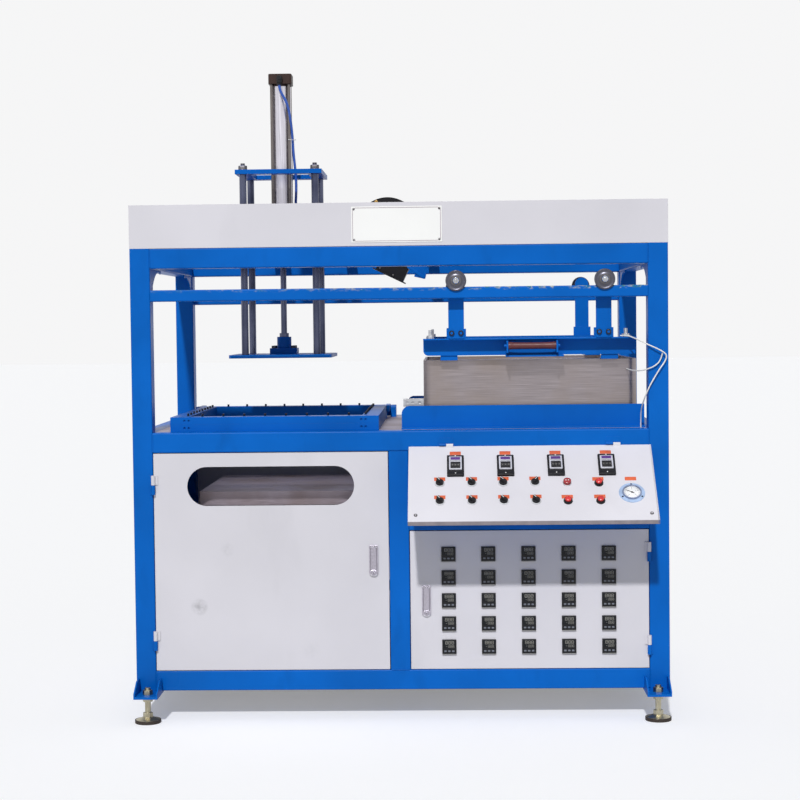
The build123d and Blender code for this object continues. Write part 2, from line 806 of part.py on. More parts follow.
pipe_radius = 21.0
pump_x = left + 1120.0
pump_length = 150.0
pump_radius = 105.0
pump_motor_length = 300.0
pump_base = 12.0
with BuildPart() as pump_body:
    add(rod((pump_x, tank_y, tank_z), (1, 0, 0), pump_length, pump_radius))
    fillet(pump_body.edges().filter_by(GeomType.CIRCLE), 8)
    add(block((pump_x - 20, pump_x + pump_length + pump_motor_length), (tank_y - 120, tank_y + 120),
              (bottom_top, bottom_top + pump_base)))
    add(block((pump_x + 20, pump_x + pump_length - 20), (tank_y - 70, tank_y + 70),
              (bottom_top + pump_base, tank_z)))
    add(rod((pump_x + 75, tank_y, tank_z), (0, 0, 1), pump_radius + 60, 18))

fin_count = 16
motor_end = pump_x + pump_length
with BuildPart() as pump_motor:
    add(rod((motor_end, tank_y, tank_z), (1, 0, 0), pump_motor_length - 20, 82))
    with BuildSketch(Plane(origin=(motor_end + 30, tank_y, tank_z), z_dir=(1, 0, 0))):
        with PolarLocations(85, fin_count):
            Rectangle(16, 4)
    extrude(amount=pump_motor_length - 100)
    add(block((motor_end + 60, motor_end + 200), (tank_y - 60, tank_y + 60),
              (bottom_top + pump_base, tank_z - 70)))

with BuildPart() as vacuum_pipe:
    tank_end = tank_left + tank_length
    add(rod((tank_end, tank_y, tank_z), (1, 0, 0), pump_x - tank_end, pipe_radius))
    for x in (tank_end, pump_x - 12):
        add(rod((x, tank_y, tank_z), (1, 0, 0), 12, pipe_radius + 14))
    valve_x = (tank_end + pump_x) / 2
    add(block((valve_x - 35, valve_x + 35), (tank_y - 32, tank_y + 32), (tank_z - 32, tank_z + 32)))
    add(rod((valve_x, tank_y, tank_z + 32), (0, 0, 1), 60, 26))

vacuum_tank = joined(tank_shell.part, vacuum_pipe.part)
vacuum_tank.label = "vacuum_tank"
export_step(vacuum_tank, "parts/vacuum_tank.step")
vacuum_pump = joined(pump_body.part, pump_motor.part)
vacuum_pump.label = "vacuum_pump"
export_step(vacuum_pump, "parts/vacuum_pump.step")

# ---- Mould table and its lift ----
mould_x = (hole_x[0] + mould_margin, hole_x[1] - mould_margin)
mould_y = (hole_y[0] + mould_depth_margin, hole_y[1] - mould_depth_margin)
mould_mid_y = (mould_y[0] + mould_y[1]) / 2
lift_radius = 50.0
lift_rod_radius = 15.0
lift_tube_low = bottom_top + 12
lift_tube_top = 470.0
lift_rod_low = lift_tube_low + 20
lift_guide_radius = 12.5
lift_guide_spread = 170.0
lift_bracket_sheet = 20.0
with BuildPart() as mould_tray:
    add(block(mould_x, mould_y, (mould_top - mould_skirt, mould_top)))
    inner_x = (mould_x[0] + mould_sheet, mould_x[1] - mould_sheet)
    inner_y = (mould_y[0] + mould_sheet, mould_y[1] - mould_sheet)
    add(block(inner_x, inner_y, (mould_top - mould_skirt, mould_top - mould_sheet)), mode=Mode.SUBTRACT)
    with BuildSketch(Plane(origin=(clamp_x, mould_mid_y, mould_top))):
        with GridLocations(80, 80, 6, 7):
            Circle(3)
    extrude(amount=-mould_sheet, mode=Mode.SUBTRACT)

with BuildPart() as lift_rods:
    underside = mould_top - mould_sheet
    add(rod((clamp_x, mould_mid_y, lift_rod_low), (0, 0, 1), underside - lift_rod_low, lift_rod_radius))
    for side in (-1, 1):
        add(rod((clamp_x + side * lift_guide_spread, mould_mid_y, lift_rod_low), (0, 0, 1),
                underside - lift_rod_low, lift_guide_radius))

mould_table = joined(mould_tray.part, lift_rods.part)
mould_table.label = "mould_table"
export_step(mould_table, "parts/mould_table.step")

with BuildPart() as lift_tube:
    add(block((clamp_x - 80, clamp_x + 80), (mould_mid_y - 80, mould_mid_y + 80),
              (bottom_top, lift_tube_low)))
    add(rod((clamp_x, mould_mid_y, lift_tube_low), (0, 0, 1), lift_tube_top - lift_tube_low, lift_radius))
    add(rod((clamp_x, mould_mid_y, lift_tube_low), (0, 0, 1), lift_tube_top - lift_tube_low,
            lift_rod_radius + pin_fit), mode=Mode.SUBTRACT)

with BuildPart() as lift_bracket:
    reach = lift_guide_spread + 40
    add(block((clamp_x - reach, clamp_x + reach), (mould_mid_y - 60, mould_mid_y + 60),
              (lift_tube_top, lift_tube_top + lift_bracket_sheet)))
    for x in (clamp_x - reach, clamp_x + reach - 10):
        add(block((x, x + 10), (mould_mid_y - 60, mould_mid_y + 60), (bottom_top, lift_tube_top)))
    for offset, radius in ((0, lift_rod_radius), (-lift_guide_spread, lift_guide_radius),
                           (lift_guide_spread, lift_guide_radius)):
        add(rod((clamp_x + offset, mould_mid_y, lift_tube_top), (0, 0, 1), lift_bracket_sheet,
                radius + pin_fit),
            mode=Mode.SUBTRACT)

lift_cylinder = joined(lift_tube.part, lift_bracket.part)
lift_cylinder.label = "lift_cylinder"
export_step(lift_cylinder, "parts/lift_cylinder.step")

# ---- Electrics on the rear panel of the right bay ----
with BuildPart() as electrics:
    board_x = (left + 1100.0, left + 1700.0)
    board_z = (500.0, 860.0)
    board_y = panel_back - sheet - 25
    add(block(board_x, (board_y - sheet, board_y), board_z))
    for x in (board_x[0] + 30, board_x[1] - 30):
        for z in (board_z[0] + 30, board_z[1] - 30):
            add(rod((x, board_y, z), (0, 1, 0), 25, 6))
    for row in range(2):
        for column in range(7):
            x = board_x[0] + 50 + column * 75
            z = board_z[0] + 60 + row * 160
            add(block((x, x + 45), (board_y - sheet - 75, board_y - sheet), (z, z + 80)))
electrics.part.label = "electrics_board"
export_step(electrics.part, "parts/electrics_board.step")

# ---- Heater carriage ----
box_left = left + box_offset
box_right = box_left + box_length
box_front = front + box_front_gap
box_back = box_front + box_depth
box_top = box_bottom + box_height
roof_drop = 12.0
with BuildPart() as heater_box:
    box_plane = Plane(origin=((box_left + box_right) / 2, (box_front + box_back) / 2, box_bottom))
    with BuildSketch(box_plane):
        RectangleRounded(box_length, box_depth, box_round)
    extrude(amount=box_height)
    with BuildSketch(box_plane):
        RectangleRounded(box_length - 2 * sheet, box_depth - 2 * sheet, box_round - sheet)
    extrude(amount=box_height - roof_drop - sheet, mode=Mode.SUBTRACT)
    with BuildSketch(box_plane.offset(box_height - roof_drop)):
        RectangleRounded(box_length - 2 * box_lip, box_depth - 2 * box_lip, box_round - box_lip)
    extrude(amount=roof_drop, mode=Mode.SUBTRACT)
heater_box.part.label = "heater_box"
export_step(heater_box.part, "parts/heater_box.step")

element_count = 8
element_width = 40.0
element_height = 16.0
element_drop = 60.0
with BuildPart() as heater_elements:
    roof = box_top - roof_drop - sheet
    pitch = (box_depth - 120) / (element_count - 1)
    for index in range(element_count):
        y = box_front + 60 + index * pitch
        add(block((box_left + 50, box_right - 50), (y - element_width / 2, y + element_width / 2),
                  (roof - element_drop, roof - element_drop + element_height)))
    for x in (box_left + 120, box_right - 140):
        add(block((x, x + 20), (box_front + 40, box_back - 40),
                  (roof - element_drop + element_height, roof)))
heater_elements.part.label = "heater_elements"
export_step(heater_elements.part, "parts/heater_elements.step")

angle_left = box_left + angle_inset
angle_right = angle_left + angle_length
angle_top = angle_bottom + angle_height
front_leg = front + angle_gap + angle_depth
rear_leg = rear - angle_gap - angle_depth
angle_round = 18.0
cross_width = 40.0
strap_sheet = 6.0
strap_width = 60.0
strap_seat = 36.0
with BuildPart() as angle_rails:
    for leg, way in ((front_leg, -1), (rear_leg, 1)):
        face = leg if way < 0 else leg + angle_sheet
        with BuildSketch(Plane(origin=(0, face, angle_bottom), x_dir=(1, 0, 0), z_dir=(0, -1, 0))) as web:
            with BuildLine():
                Line((angle_left + angle_round, 0), (angle_right, 0))
                Line((angle_right, 0), (angle_right, angle_height))
                Line((angle_right, angle_height), (angle_left, angle_height))
                Line((angle_left, angle_height), (angle_left, angle_round))
                RadiusArc((angle_left, angle_round), (angle_left + angle_round, 0), -angle_round)
            make_face()
        extrude(web.sketch, amount=angle_sheet)
        add(block((angle_left, angle_right), span(leg, leg + way * angle_depth),
                  (angle_top - angle_sheet, angle_top)))

with BuildPart() as carriage_straps:
    for leg, edge, way in ((front_leg, box_front, 1), (rear_leg, box_back, -1)):
        for x in (angle_left + 60, angle_right - 60 - strap_width):
            add(block((x, x + strap_width), span(leg, leg + way * strap_sheet),
                      (box_top, angle_top - angle_sheet)))
            add(block((x, x + strap_width), span(leg, edge + way * strap_seat),
                      (box_top, box_top + strap_sheet)))
    cross_x = (angle_right - cross_width, angle_right)
    cross_low = angle_bottom + 8
    add(block(cross_x, (front_leg, rear_leg), (cross_low, cross_low + 6)))

carriage_rails = joined(angle_rails.part, carriage_straps.part)
carriage_rails.label = "carriage_rails"
export_step(carriage_rails, "parts/carriage_rails.step")

stud_offsets = (26.0, 707.0)
with BuildPart() as carriage_studs:
    for offset in stud_offsets:
        for leg, way in ((front_leg, -1), (rear_leg, 1)):
            x, y = box_left + offset, leg + way * angle_depth / 2
            add(hex_bolt((x, y, angle_top), (0, 0, 1), 22, 11))
            add(rod((x, y, angle_top), (0, 0, 1), 30, 6))

wheel_z = track_height + wheel_radius
hanger_bolt = 9.0
lug_height = 34.0
with BuildPart() as hangers:
    for offset in wheel_offsets:
        x = box_left + offset
        for track_face, way in ((front + track_tube, 1), (rear - track_tube, -1)):
            y0 = track_face + way * hanger_gap
            y_pair = span(y0, y0 + way * hanger_thickness)
            with BuildSketch(Plane(origin=(x, y_pair[1], angle_top), x_dir=(1, 0, 0),
                                   z_dir=(0, -1, 0))) as web:
                with BuildLine():
                    half = hanger_width / 2
                    rise = hanger_top - angle_top - half
                    Line((-half, 0), (half, 0))
                    Line((half, 0), (half, rise))
                    ThreePointArc((half, rise), (0, rise + half), (-half, rise))
                    Line((-half, rise), (-half, 0))
                make_face()
            extrude(web.sketch, amount=hanger_thickness)
            for side in (-1, 1):
                bolt_x = x + side * 16
                add(rod((bolt_x, y_pair[0] if way > 0 else y_pair[1], angle_top + 19), (0, -way, 0), 6,
                        hanger_bolt))
            add(block((x - 34, x + 34),
                      span(y0 + way * hanger_thickness, y0 + way * (hanger_thickness + 8)),
                      (angle_top, angle_top + lug_height)))
            axle_end = track_face - way * (track_tube + clearance + flange_thickness + 6)
            add(rod((x, y0, wheel_z), (0, -way, 0), abs(y0 - axle_end), axle_radius))
            add(hex_bolt((x, axle_end, wheel_z), (0, -way, 0), 20, 8))

wheel_names = ("wheel_front_left", "wheel_front_right", "wheel_rear_left", "wheel_rear_right")
wheel_places = [
    (box_left + offset, track_face, way)
    for track_face, way in ((front, -1), (rear, 1)) for offset in wheel_offsets
]
for wheel_name, (x, face, way) in zip(wheel_names, wheel_places):
    inner = face - way * (track_tube + 2)
    edge = face + way * clearance
    with BuildPart() as wheel:
        add(rod((x, inner, wheel_z), (0, way, 0), abs(edge - inner), wheel_radius))
        add(rod((x, edge, wheel_z), (0, way, 0), flange_thickness, flange_radius))
        add(rod((x, edge + way * flange_thickness, wheel_z), (0, way, 0), 4, wheel_radius))
        add(rod((x, inner, wheel_z), (0, way, 0), 80, axle_radius + pin_fit), mode=Mode.SUBTRACT)
    wheel.part.label = wheel_name
    export_step(wheel.part, f"parts/{wheel_name}.step")

# Handle on the front rail, with a spool grip that turns on its bolt
grip_left = box_left + grip_offset
grip_y = front + 45.0
ear_sheet = 6.0
ear_bolt = 5.0
with BuildPart() as handle_bracket:
    ear_out = 8.0
    plate_back = front_leg - angle_sheet
    for x in (grip_left - clearance - ear_sheet, grip_left + grip_length + clearance):
        add(block((x, x + ear_sheet), (grip_y - 18, plate_back), (grip_height - 24, grip_height + 18)))
    add(block((grip_left - ear_out, grip_left + grip_length + ear_out + 20),
              (front_leg - 40, front_leg + angle_sheet),
              (angle_bottom - 6, angle_bottom)))
    add(block((grip_left - 1 - ear_sheet, grip_left + grip_length + 1 + ear_sheet),
              (plate_back - 6, plate_back),
              (angle_bottom, grip_height + 18)))
    add(rod((grip_left - ear_sheet - 8, grip_y, grip_height), (1, 0, 0),
            grip_length + 2 * (ear_sheet + 8), ear_bolt))

wheel_hangers = joined(hangers.part, handle_bracket.part)
wheel_hangers.label = "wheel_hangers"
export_step(wheel_hangers, "parts/wheel_hangers.step")

with BuildPart() as handle_grip:
    add(rod((grip_left, grip_y, grip_height), (1, 0, 0), grip_length, grip_radius))
    add(rod((grip_left, grip_y, grip_height), (1, 0, 0), grip_length, ear_bolt + pin_fit),
        mode=Mode.SUBTRACT)
handle_grip.part.label = "handle_grip"
export_step(handle_grip.part, "parts/handle_grip.step")

stop_length = 73.0
stop_depth = 24.0
stop_low = 1077.0
stop_height = 28.0
stop_y = front + 150.0
with BuildPart() as stop_block:
    add(block((box_left - stop_length, box_left), (stop_y + 20, stop_y + 20 + stop_depth),
              (stop_low, stop_low + stop_height)))
    for offset in (14, 34, 58):
        add(rod((box_left - stop_length + offset, stop_y + 20, stop_low + stop_height / 2), (0, 1, 0), 6,
                5), mode=Mode.SUBTRACT)
carriage_fittings = joined(carriage_studs.part, stop_block.part)
carriage_fittings.label = "carriage_fittings"
export_step(carriage_fittings, "parts/carriage_fittings.step")

# ---- Console: open box with a sloping lid ----
console_left = mid_right + console_margin
console_right = in_right + 7.0
lid_y = front - lid_gap
console_floor = 698.0


def lid_plane(x, down, lift=0.0):
    """Plane on the lid at x from the machine's left side and down the slope from its upper edge."""
    y = lid_y - down * slope_y - lift * slope_z
    z = console_top - down * slope_z + lift * slope_y
    return Plane(origin=(left + x, y, z), x_dir=(1, 0, 0), z_dir=(0, -slope_z, slope_y))


hinge_tabs = ((1066.0, 49.0), (1642.0, 50.0))
barrel_radius = 4.0
barrel_pin = 2.5
lid_hinge_z = console_top + 5.0
lid_hinge_y = front - barrel_radius - 0.2
timer_places = (1122.0, 1293.0, 1465.0, 1638.0)
timer_down = 95.0
timer_width = 58.0
timer_length = 102.0
timer_height = 12.0
selector_rows = (177.0, 261.0)
selector_places = (1068.0, 1176.0, 1283.0, 1391.0)
button_places = ((1606.0, 182.0), (1498.0, 263.0), (1607.0, 263.0))
lamp_place = (1499.0, 180.0)
gauge_place = (1714.0, 228.0)
knob_shaft = 4.0
bezel_radius = 15.0
bezel_height = 4.0
button_radius = 11.0
lid_screws = ((987.0, 322.0), (1773.0, 321.0))

with BuildPart() as console_box:
    with BuildSketch(Plane(origin=(0, front, 0), x_dir=(0, 1, 0), z_dir=(1, 0, 0))) as shell:
        with BuildLine():
            fall = (console_top - console_bottom) / console_reach
            deep = console_reach - 4
            seat_drop = console_sheet / slope_y - lid_gap * fall + clearance
            Polyline(
                (0, console_top - seat_drop),
                (-deep, console_top - seat_drop - deep * fall),
                (-deep, console_floor),
                (0, console_floor),
                close=True,
            )
        make_face()
    box_ends = (console_left + cheek_inset, console_right - cheek_inset - 7)
    extrude(shell.sketch.moved(Location((box_ends[0], 0, 0))), amount=box_ends[1] - box_ends[0])
    with BuildSketch(Plane(origin=(0, front, 0), x_dir=(0, 1, 0), z_dir=(1, 0, 0))) as cavity:
        with BuildLine():
            Polyline(
                (0, console_top + 20),
                (-deep + sheet, console_top + 20),
                (-deep + sheet, console_floor + sheet),
                (0, console_floor + sheet),
                close=True,
            )
        make_face()
    extrude(cavity.sketch.moved(Location((box_ends[0] + sheet, 0, 0))),
            amount=box_ends[1] - box_ends[0] - 2 * sheet,
            mode=Mode.SUBTRACT)
console_box.part.label = "console_box"
export_step(console_box.part, "parts/console_box.step")

with BuildPart() as console_hinges:
    for offset, length in hinge_tabs:
        x = left + offset
        tab_low = lid_hinge_z + barrel_radius + clearance
        add(block((x, x + length), (front - 1.5, front), (tab_low, tab_low + 20)))
        add(block((x, x + length / 2 - 0.5), (front - barrel_radius, front), (lid_hinge_z, tab_low + 1)))
        add(rod((x, lid_hinge_y, lid_hinge_z), (1, 0, 0), length / 2 - 0.5, barrel_radius))
        add(rod((x, lid_hinge_y, lid_hinge_z), (1, 0, 0), length, barrel_pin))

with BuildPart() as console_lid:
    lid_length = console_right - console_left
    with BuildSketch(lid_plane(console_left + lid_length / 2 - left, slope_length / 2)):
        Rectangle(lid_length, slope_length)
    extrude(amount=-console_sheet)
    edge_y = lid_y - console_reach
    add(block((console_left, console_right), (edge_y, edge_y + console_sheet),
              (console_bottom - console_lip, console_bottom)))
    for x in (console_left, console_right - console_sheet):
        side_plane = Plane(origin=(x, lid_y, 0), x_dir=(0, 1, 0), z_dir=(1, 0, 0))
        with BuildSketch(side_plane) as lip:
            with BuildLine():
                Polyline(
                    (-1, console_top - 1),
                    (-console_reach, console_bottom),
                    (-console_reach, console_bottom - console_lip),
                    (-1, console_top - 1 - console_lip),
                    close=True,
                )
            make_face()
        extrude(lip.sketch, amount=console_sheet)
    for offset, length in hinge_tabs:
        x = left + offset + length / 2 + 0.5
        add(rod((x, lid_hinge_y, lid_hinge_z), (1, 0, 0), length / 2 - 0.5, barrel_radius))
        add(block((x, x + length / 2 - 0.5), (lid_hinge_y - barrel_radius, lid_hinge_y - 1.5),
                  (console_top - 9, lid_hinge_z)))
    for offset, length in hinge_tabs:
        x = left + offset
        add(rod((x, lid_hinge_y, lid_hinge_z), (1, 0, 0), length, barrel_pin + pin_fit), mode=Mode.SUBTRACT)
    for x, down in [(place, row) for place in selector_places for row in selector_rows]:
        with BuildSketch(lid_plane(x, down)):
            Circle(knob_shaft + 1)
        extrude(amount=-console_sheet, mode=Mode.SUBTRACT)
    for x, down in lid_screws:
        with BuildSketch(lid_plane(x, down)):
            Circle(5)
        extrude(amount=2)
console_lid.part.label = "console_lid"
export_step(console_lid.part, "parts/console_lid.step")

with BuildPart() as timers:
    for x in timer_places:
        with BuildSketch(lid_plane(x, timer_down)):
            RectangleRounded(timer_width, timer_length, 3)
        extrude(amount=timer_height)
        with BuildSketch(lid_plane(x, timer_down, timer_height)):
            Rectangle(timer_width - 14, timer_length - 40)
        extrude(amount=-3, mode=Mode.SUBTRACT)
        with BuildSketch(lid_plane(x, timer_down, timer_height - 3)):
            with GridLocations(12, 1, 3, 1):
                with Locations((0, -14)):
                    Rectangle(8, 16)
        extrude(amount=5)

with BuildPart() as selector_bezels:
    for x, down in [(place, row) for place in selector_places for row in selector_rows]:
        with BuildSketch(lid_plane(x, down)):
            Circle(bezel_radius)
            Circle(knob_shaft + pin_fit, mode=Mode.SUBTRACT)
        extrude(amount=bezel_height)

knob_radius = 12.0
knob_base = 6.0
knob_grip = 8.0
knob_height = 16.0
for row_name, down in zip(("upper", "lower"), selector_rows):
    for number, x in enumerate(selector_places, 1):
        with BuildPart() as knob:
            turn = -38 if (row_name == "upper" and number == 4) else 38
            with BuildSketch(lid_plane(x, down, bezel_height + clearance)):
                Circle(knob_radius)
            extrude(amount=knob_base)
            with BuildSketch(lid_plane(x, down, bezel_height + clearance + knob_base)):
                SlotOverall(2 * knob_radius + 3, knob_grip, rotation=90 + turn)
            extrude(amount=knob_height - knob_base)
            with BuildSketch(lid_plane(x, down, bezel_height + clearance)):
                Circle(knob_shaft)
            extrude(amount=-bezel_height - 8)
        knob.part.label = f"selector_{row_name}_{number}"
        export_step(knob.part, f"parts/selector_{row_name}_{number}.step")

with BuildPart() as button_bezels:
    for x, down in button_places:
        with BuildSketch(lid_plane(x, down)):
            Circle(bezel_radius)
            Circle(button_radius + clearance + 0.2, mode=Mode.SUBTRACT)
        extrude(amount=bezel_height + 3)

button_top = 17.0
lid_normal = Axis((0, 0, 0), (0, -slope_z, slope_y))
button_travel = 3.5
button_lift = button_travel + 0.5
for number, (x, down) in enumerate(button_places, 1):
    with BuildPart() as button:
        with BuildSketch(lid_plane(x, down, button_lift)):
            Circle(button_radius)
        extrude(amount=button_top - button_lift)
        fillet(button.faces().sort_by(lid_normal)[-1].edges(), 2.5)
    button.part.label = f"push_button_{number}"
    export_step(button.part, f"parts/push_button_{number}.step")

with BuildPart() as alarm_lamp:
    x, down = lamp_place
    with BuildSketch(lid_plane(x, down)):
        Circle(bezel_radius)
    extrude(amount=bezel_height)
    with BuildSketch(lid_plane(x, down, bezel_height)):
        Circle(button_radius + 1)
    extrude(amount=9)

gauge_radius = 44.0
gauge_case = 31.0
gauge_height = 9.0
gauge_floor = 3.0
with BuildPart() as vacuum_gauge:
    x, down = gauge_place
    with BuildSketch(lid_plane(x, down)):
        Circle(gauge_radius)
    extrude(amount=gauge_floor)
    with BuildSketch(lid_plane(x, down, gauge_floor)):
        Circle(gauge_case)
        Circle(gauge_case - 2.5, mode=Mode.SUBTRACT)
    extrude(amount=gauge_height - gauge_floor)
    for turn in (90, 210, 330):
        with BuildSketch(lid_plane(x, down, gauge_floor)):
            with PolarLocations(37.5, 1, start_angle=turn):
                Circle(3)
        extrude(amount=1.5)
    with BuildSketch(lid_plane(x, down, gauge_floor)):
        Circle(1.5)
    extrude(amount=4)

console_instruments = joined(timers.part, selector_bezels.part, button_bezels.part, alarm_lamp.part,
                             vacuum_gauge.part)
console_instruments.label = "console_instruments"
export_step(console_instruments, "parts/console_instruments.step")

needle_turn = 150.0
with BuildPart() as gauge_needle:
    x, down = gauge_place
    with BuildSketch(lid_plane(x, down, gauge_floor + 1.5)):
        Circle(4)
        with Locations(Location((0, 0), needle_turn)):
            with Locations((8, 0)):
                Rectangle(32, 1.6)
        Circle(1.5 + pin_fit, mode=Mode.SUBTRACT)
    extrude(amount=1)
gauge_needle.part.label = "gauge_needle"
export_step(gauge_needle.part, "parts/gauge_needle.step")

# ---- Doors ----
door_low = bottom_top + door_gap
door_return = 20.0
left_door_top = table_height - tube - door_gap
right_door_top = sill_height - tube - door_gap
left_door_x = (in_left + door_gap, mid_left - door_gap)
right_door_x = (mid_right + door_gap, in_right - door_gap)
window_height = 813.5
window_radius = 68.0
window_places = (257.0, 702.0)
barrel = 7.0
barrel_length = 67.0
door_pin = 3.5
leaf_width = 16.0
door_axis_y = front - barrel - clearance
left_axis_x = in_left + 1.0
right_axis_x = in_right - 1.0
left_hinges = (820.0, 275.0)
right_hinges = (575.0, 251.0)
hinge_rows = [(left_axis_x, z, 1) for z in left_hinges] + [(right_axis_x, z, -1) for z in right_hinges]

with BuildPart() as door_hinges:
    for x, z, way in hinge_rows:
        low = z - barrel_length / 2
        add(rod((x, door_axis_y, low), (0, 0, 1), barrel_length / 2 - 0.3, barrel))
        add(rod((x, door_axis_y, low), (0, 0, 1), barrel_length - 4, door_pin))
        add(block(span(x - way * 12, x), (front - 3, front), (low, z - 0.3)))

hinge_pins = joined(console_hinges.part, door_hinges.part)
hinge_pins.label = "hinge_pins"
export_step(hinge_pins, "parts/hinge_pins.step")


def door_pan(x, top, hinges, axis_x, way):
    """Folded sheet door with the upper hinge barrels on its face."""
    with BuildPart() as pan:
        add(block(x, (front, front + door_return), (door_low, top)))
        add(block((x[0] + sheet, x[1] - sheet), (front + sheet, front + door_return),
                  (door_low + sheet, top - sheet)),
            mode=Mode.SUBTRACT)
        for z in hinges:
            high = barrel_length / 2 - 0.3
            add(rod((axis_x, door_axis_y, z + 0.3), (0, 0, 1), high, barrel))
            add(block(span(axis_x, axis_x + way * leaf_width), (front - 3, front), (z + 0.3, z + high)))
        for z in hinges:
            add(rod((axis_x, door_axis_y, z - 1), (0, 0, 1), barrel_length / 2 - 3, door_pin + pin_fit),
                mode=Mode.SUBTRACT)
    return pan.part


with BuildPart() as left_pan:
    add(door_pan(left_door_x, left_door_top, left_hinges, left_axis_x, 1))
    window_x = (left + window_places[0] + left + window_places[1]) / 2
    with BuildSketch(Plane(origin=(window_x, front, window_height), x_dir=(1, 0, 0),
                           z_dir=(0, -1, 0))) as window:
        SlotOverall(window_places[1] - window_places[0] + 2 * window_radius, 2 * window_radius)
    extrude(window.sketch, amount=-door_return, mode=Mode.SUBTRACT)

with BuildPart() as right_pan:
    add(door_pan(right_door_x, right_door_top, right_hinges, right_axis_x, -1))

meter_size = 48.0
meter_height = 5.0
meter_columns = (1095.0, 1233.0, 1372.0, 1511.0, 1650.0)
meter_rows = (572.0, 490.0, 410.0, 329.0, 248.0)
with BuildPart() as meters:
    for x in meter_columns:
        with BuildSketch(Plane(origin=(left + x, front, 0), x_dir=(1, 0, 0), z_dir=(0, -1, 0))):
            with Locations([(0, z) for z in meter_rows]):
                RectangleRounded(meter_size, meter_size, 1.5)
        extrude(amount=meter_height)
meters.part.label = "panel_meters"
export_step(meters.part, "parts/panel_meters.step")

lock_width = 30.0
lock_length = 107.0
lock_height = 6.0
lever_width = 21.0
lever_height = 84.0
lock_places = (("left", left_pan.part, left + 820.0, 496.0),
               ("right", right_pan.part, left + 1002.0, 354.0))
lever_pin = 2.0
lever_sheet = 6.0
lever_floor = 1.5
for side_name, pan, x, z in lock_places:
    lever_low = z + 19
    lever_high = lever_low + lever_height
    middle = x + lock_width / 2
    pivot_z = lever_high - lever_sheet / 2
    pivot_y = front - lever_floor - lever_sheet / 2
    with BuildPart() as lock:
        with BuildSketch(Plane(origin=(middle, front, z + lock_length / 2), x_dir=(1, 0, 0),
                               z_dir=(0, -1, 0))):
            Rectangle(lock_width, lock_length)
        extrude(amount=lock_height)
        fillet(lock.edges().filter_by(Axis.Y).group_by(Axis.Z)[0], lock_width / 2 - 1)
        lever_x = (middle - lever_width / 2 - 0.5, middle + lever_width / 2 + 0.5)
        add(block(lever_x, (front - lock_height, front - 1), (lever_low - 0.5, lever_high + 0.5)),
            mode=Mode.SUBTRACT)
        add(rod((lever_x[0], pivot_y, pivot_z), (1, 0, 0), lever_x[1] - lever_x[0], lever_pin))
        add(rod((middle, front - lock_height, z + 11), (0, -1, 0), 2, 7))
    door = joined(pan, lock.part)
    door.label = f"{side_name}_door"
    export_step(door, f"parts/{side_name}_door.step")
    with BuildPart() as lever:
        half = lever_width / 2
        lever_back = front - lever_floor
        add(block((middle - half, middle + half), (lever_back - lever_sheet, lever_back),
                  (lever_low, lever_high)))
        fillet(lever.edges().filter_by(Axis.X).group_by(Axis.Z)[-1], lever_sheet / 2 - 0.05)
        add(rod((middle - half, pivot_y, pivot_z), (1, 0, 0), lever_width, lever_pin + pin_fit),
            mode=Mode.SUBTRACT)
    lever.part.label = f"{side_name}_lock_lever"
    export_step(lever.part, f"parts/{side_name}_lock_lever.step")

# ---- Air line and heater leads ----
hose_radius = 5.0
lead_radius = 2.3


def turn_radii(points):
    """Radius of each corner's arc: 0.45 of the shorter run over the tangent of half the turn."""
    radii = []
    for before, here, after in zip(points, points[1:], points[2:]):
        first, second = Vector(*here) - Vector(*before), Vector(*after) - Vector(*here)
        half_turn = math.radians(first.get_angle(second)) / 2
        radii.append(0.45 * min(first.length, second.length) / math.tan(half_turn))
    return radii


def cord(points, radius):
    """Round tube along straight runs joined by tangent arcs."""
    radii = turn_radii(points)
    with BuildPart() as body:
        with BuildLine() as route:
            FilletPolyline(*points, radius=radii)
        with BuildSketch(Plane(origin=points[0], z_dir=route.wires()[0] % 0)):
            Circle(radius)
        sweep()
    length = route.wires()[0].length
    true_volume = math.pi * radius**2 * length
    print("cord length", round(length, 1), "volume ratio", round(body.part.volume / true_volume, 4))
    print("radii", [round(value) for value in radii])
    return body.part


def place(x, y, z):
    """Point given from the machine's left side and front."""
    return (left + x, front + y, z)


hose_route = [
    place(490, 424, 2254), place(491, 424, 2240), place(500, 425, 2218), place(514, 430, 2196),
    place(524, 441, 2160), place(529, 455, 2115), place(533, 465, 2065), place(535, 468, 2012),
    place(540, 468, 1962), place(544, 467, 1915), place(544, 468, 1865), place(540, 474, 1815),
    place(546, 483, 1780), place(552, 487.5, 1757), place(552.2, 487.5, 1745),
]
with BuildPart() as air_hose:
    add(cord(hose_route, hose_radius))
air_hose.part.label = "air_hose"
export_step(air_hose.part, "parts/air_hose.step")

with BuildPart() as cylinder_caps:
    add(cylinder_end(cap_low, rod_radius + pin_fit))
    add(cylinder_end(tube_high, 0))
    top_end = hose_route[0]
    low_end = hose_route[-1]
    add(rod(top_end, (0, 0, 1), tube_high + cap_height - 8 - top_end[2], 9))
    port_start = (press_x, press_y - cylinder_cap / 2, tube_high + cap_height / 2)
    add(rod(port_start, (0, -1, 0), port_start[1] - top_end[1], 8))
    side_start = (press_x + cylinder_cap / 2, press_y, low_end[2] - 12)
    add(rod((low_end[0], low_end[1], low_end[2] - 22), (0, 0, 1), 22, 9))
    add(rod(side_start, (1, 0, 0), low_end[0] - side_start[0], 8))
press_cylinder = joined(cylinder_tube.part, cylinder_caps.part)
press_cylinder.label = "press_cylinder"
export_step(press_cylinder, "parts/press_cylinder.step")

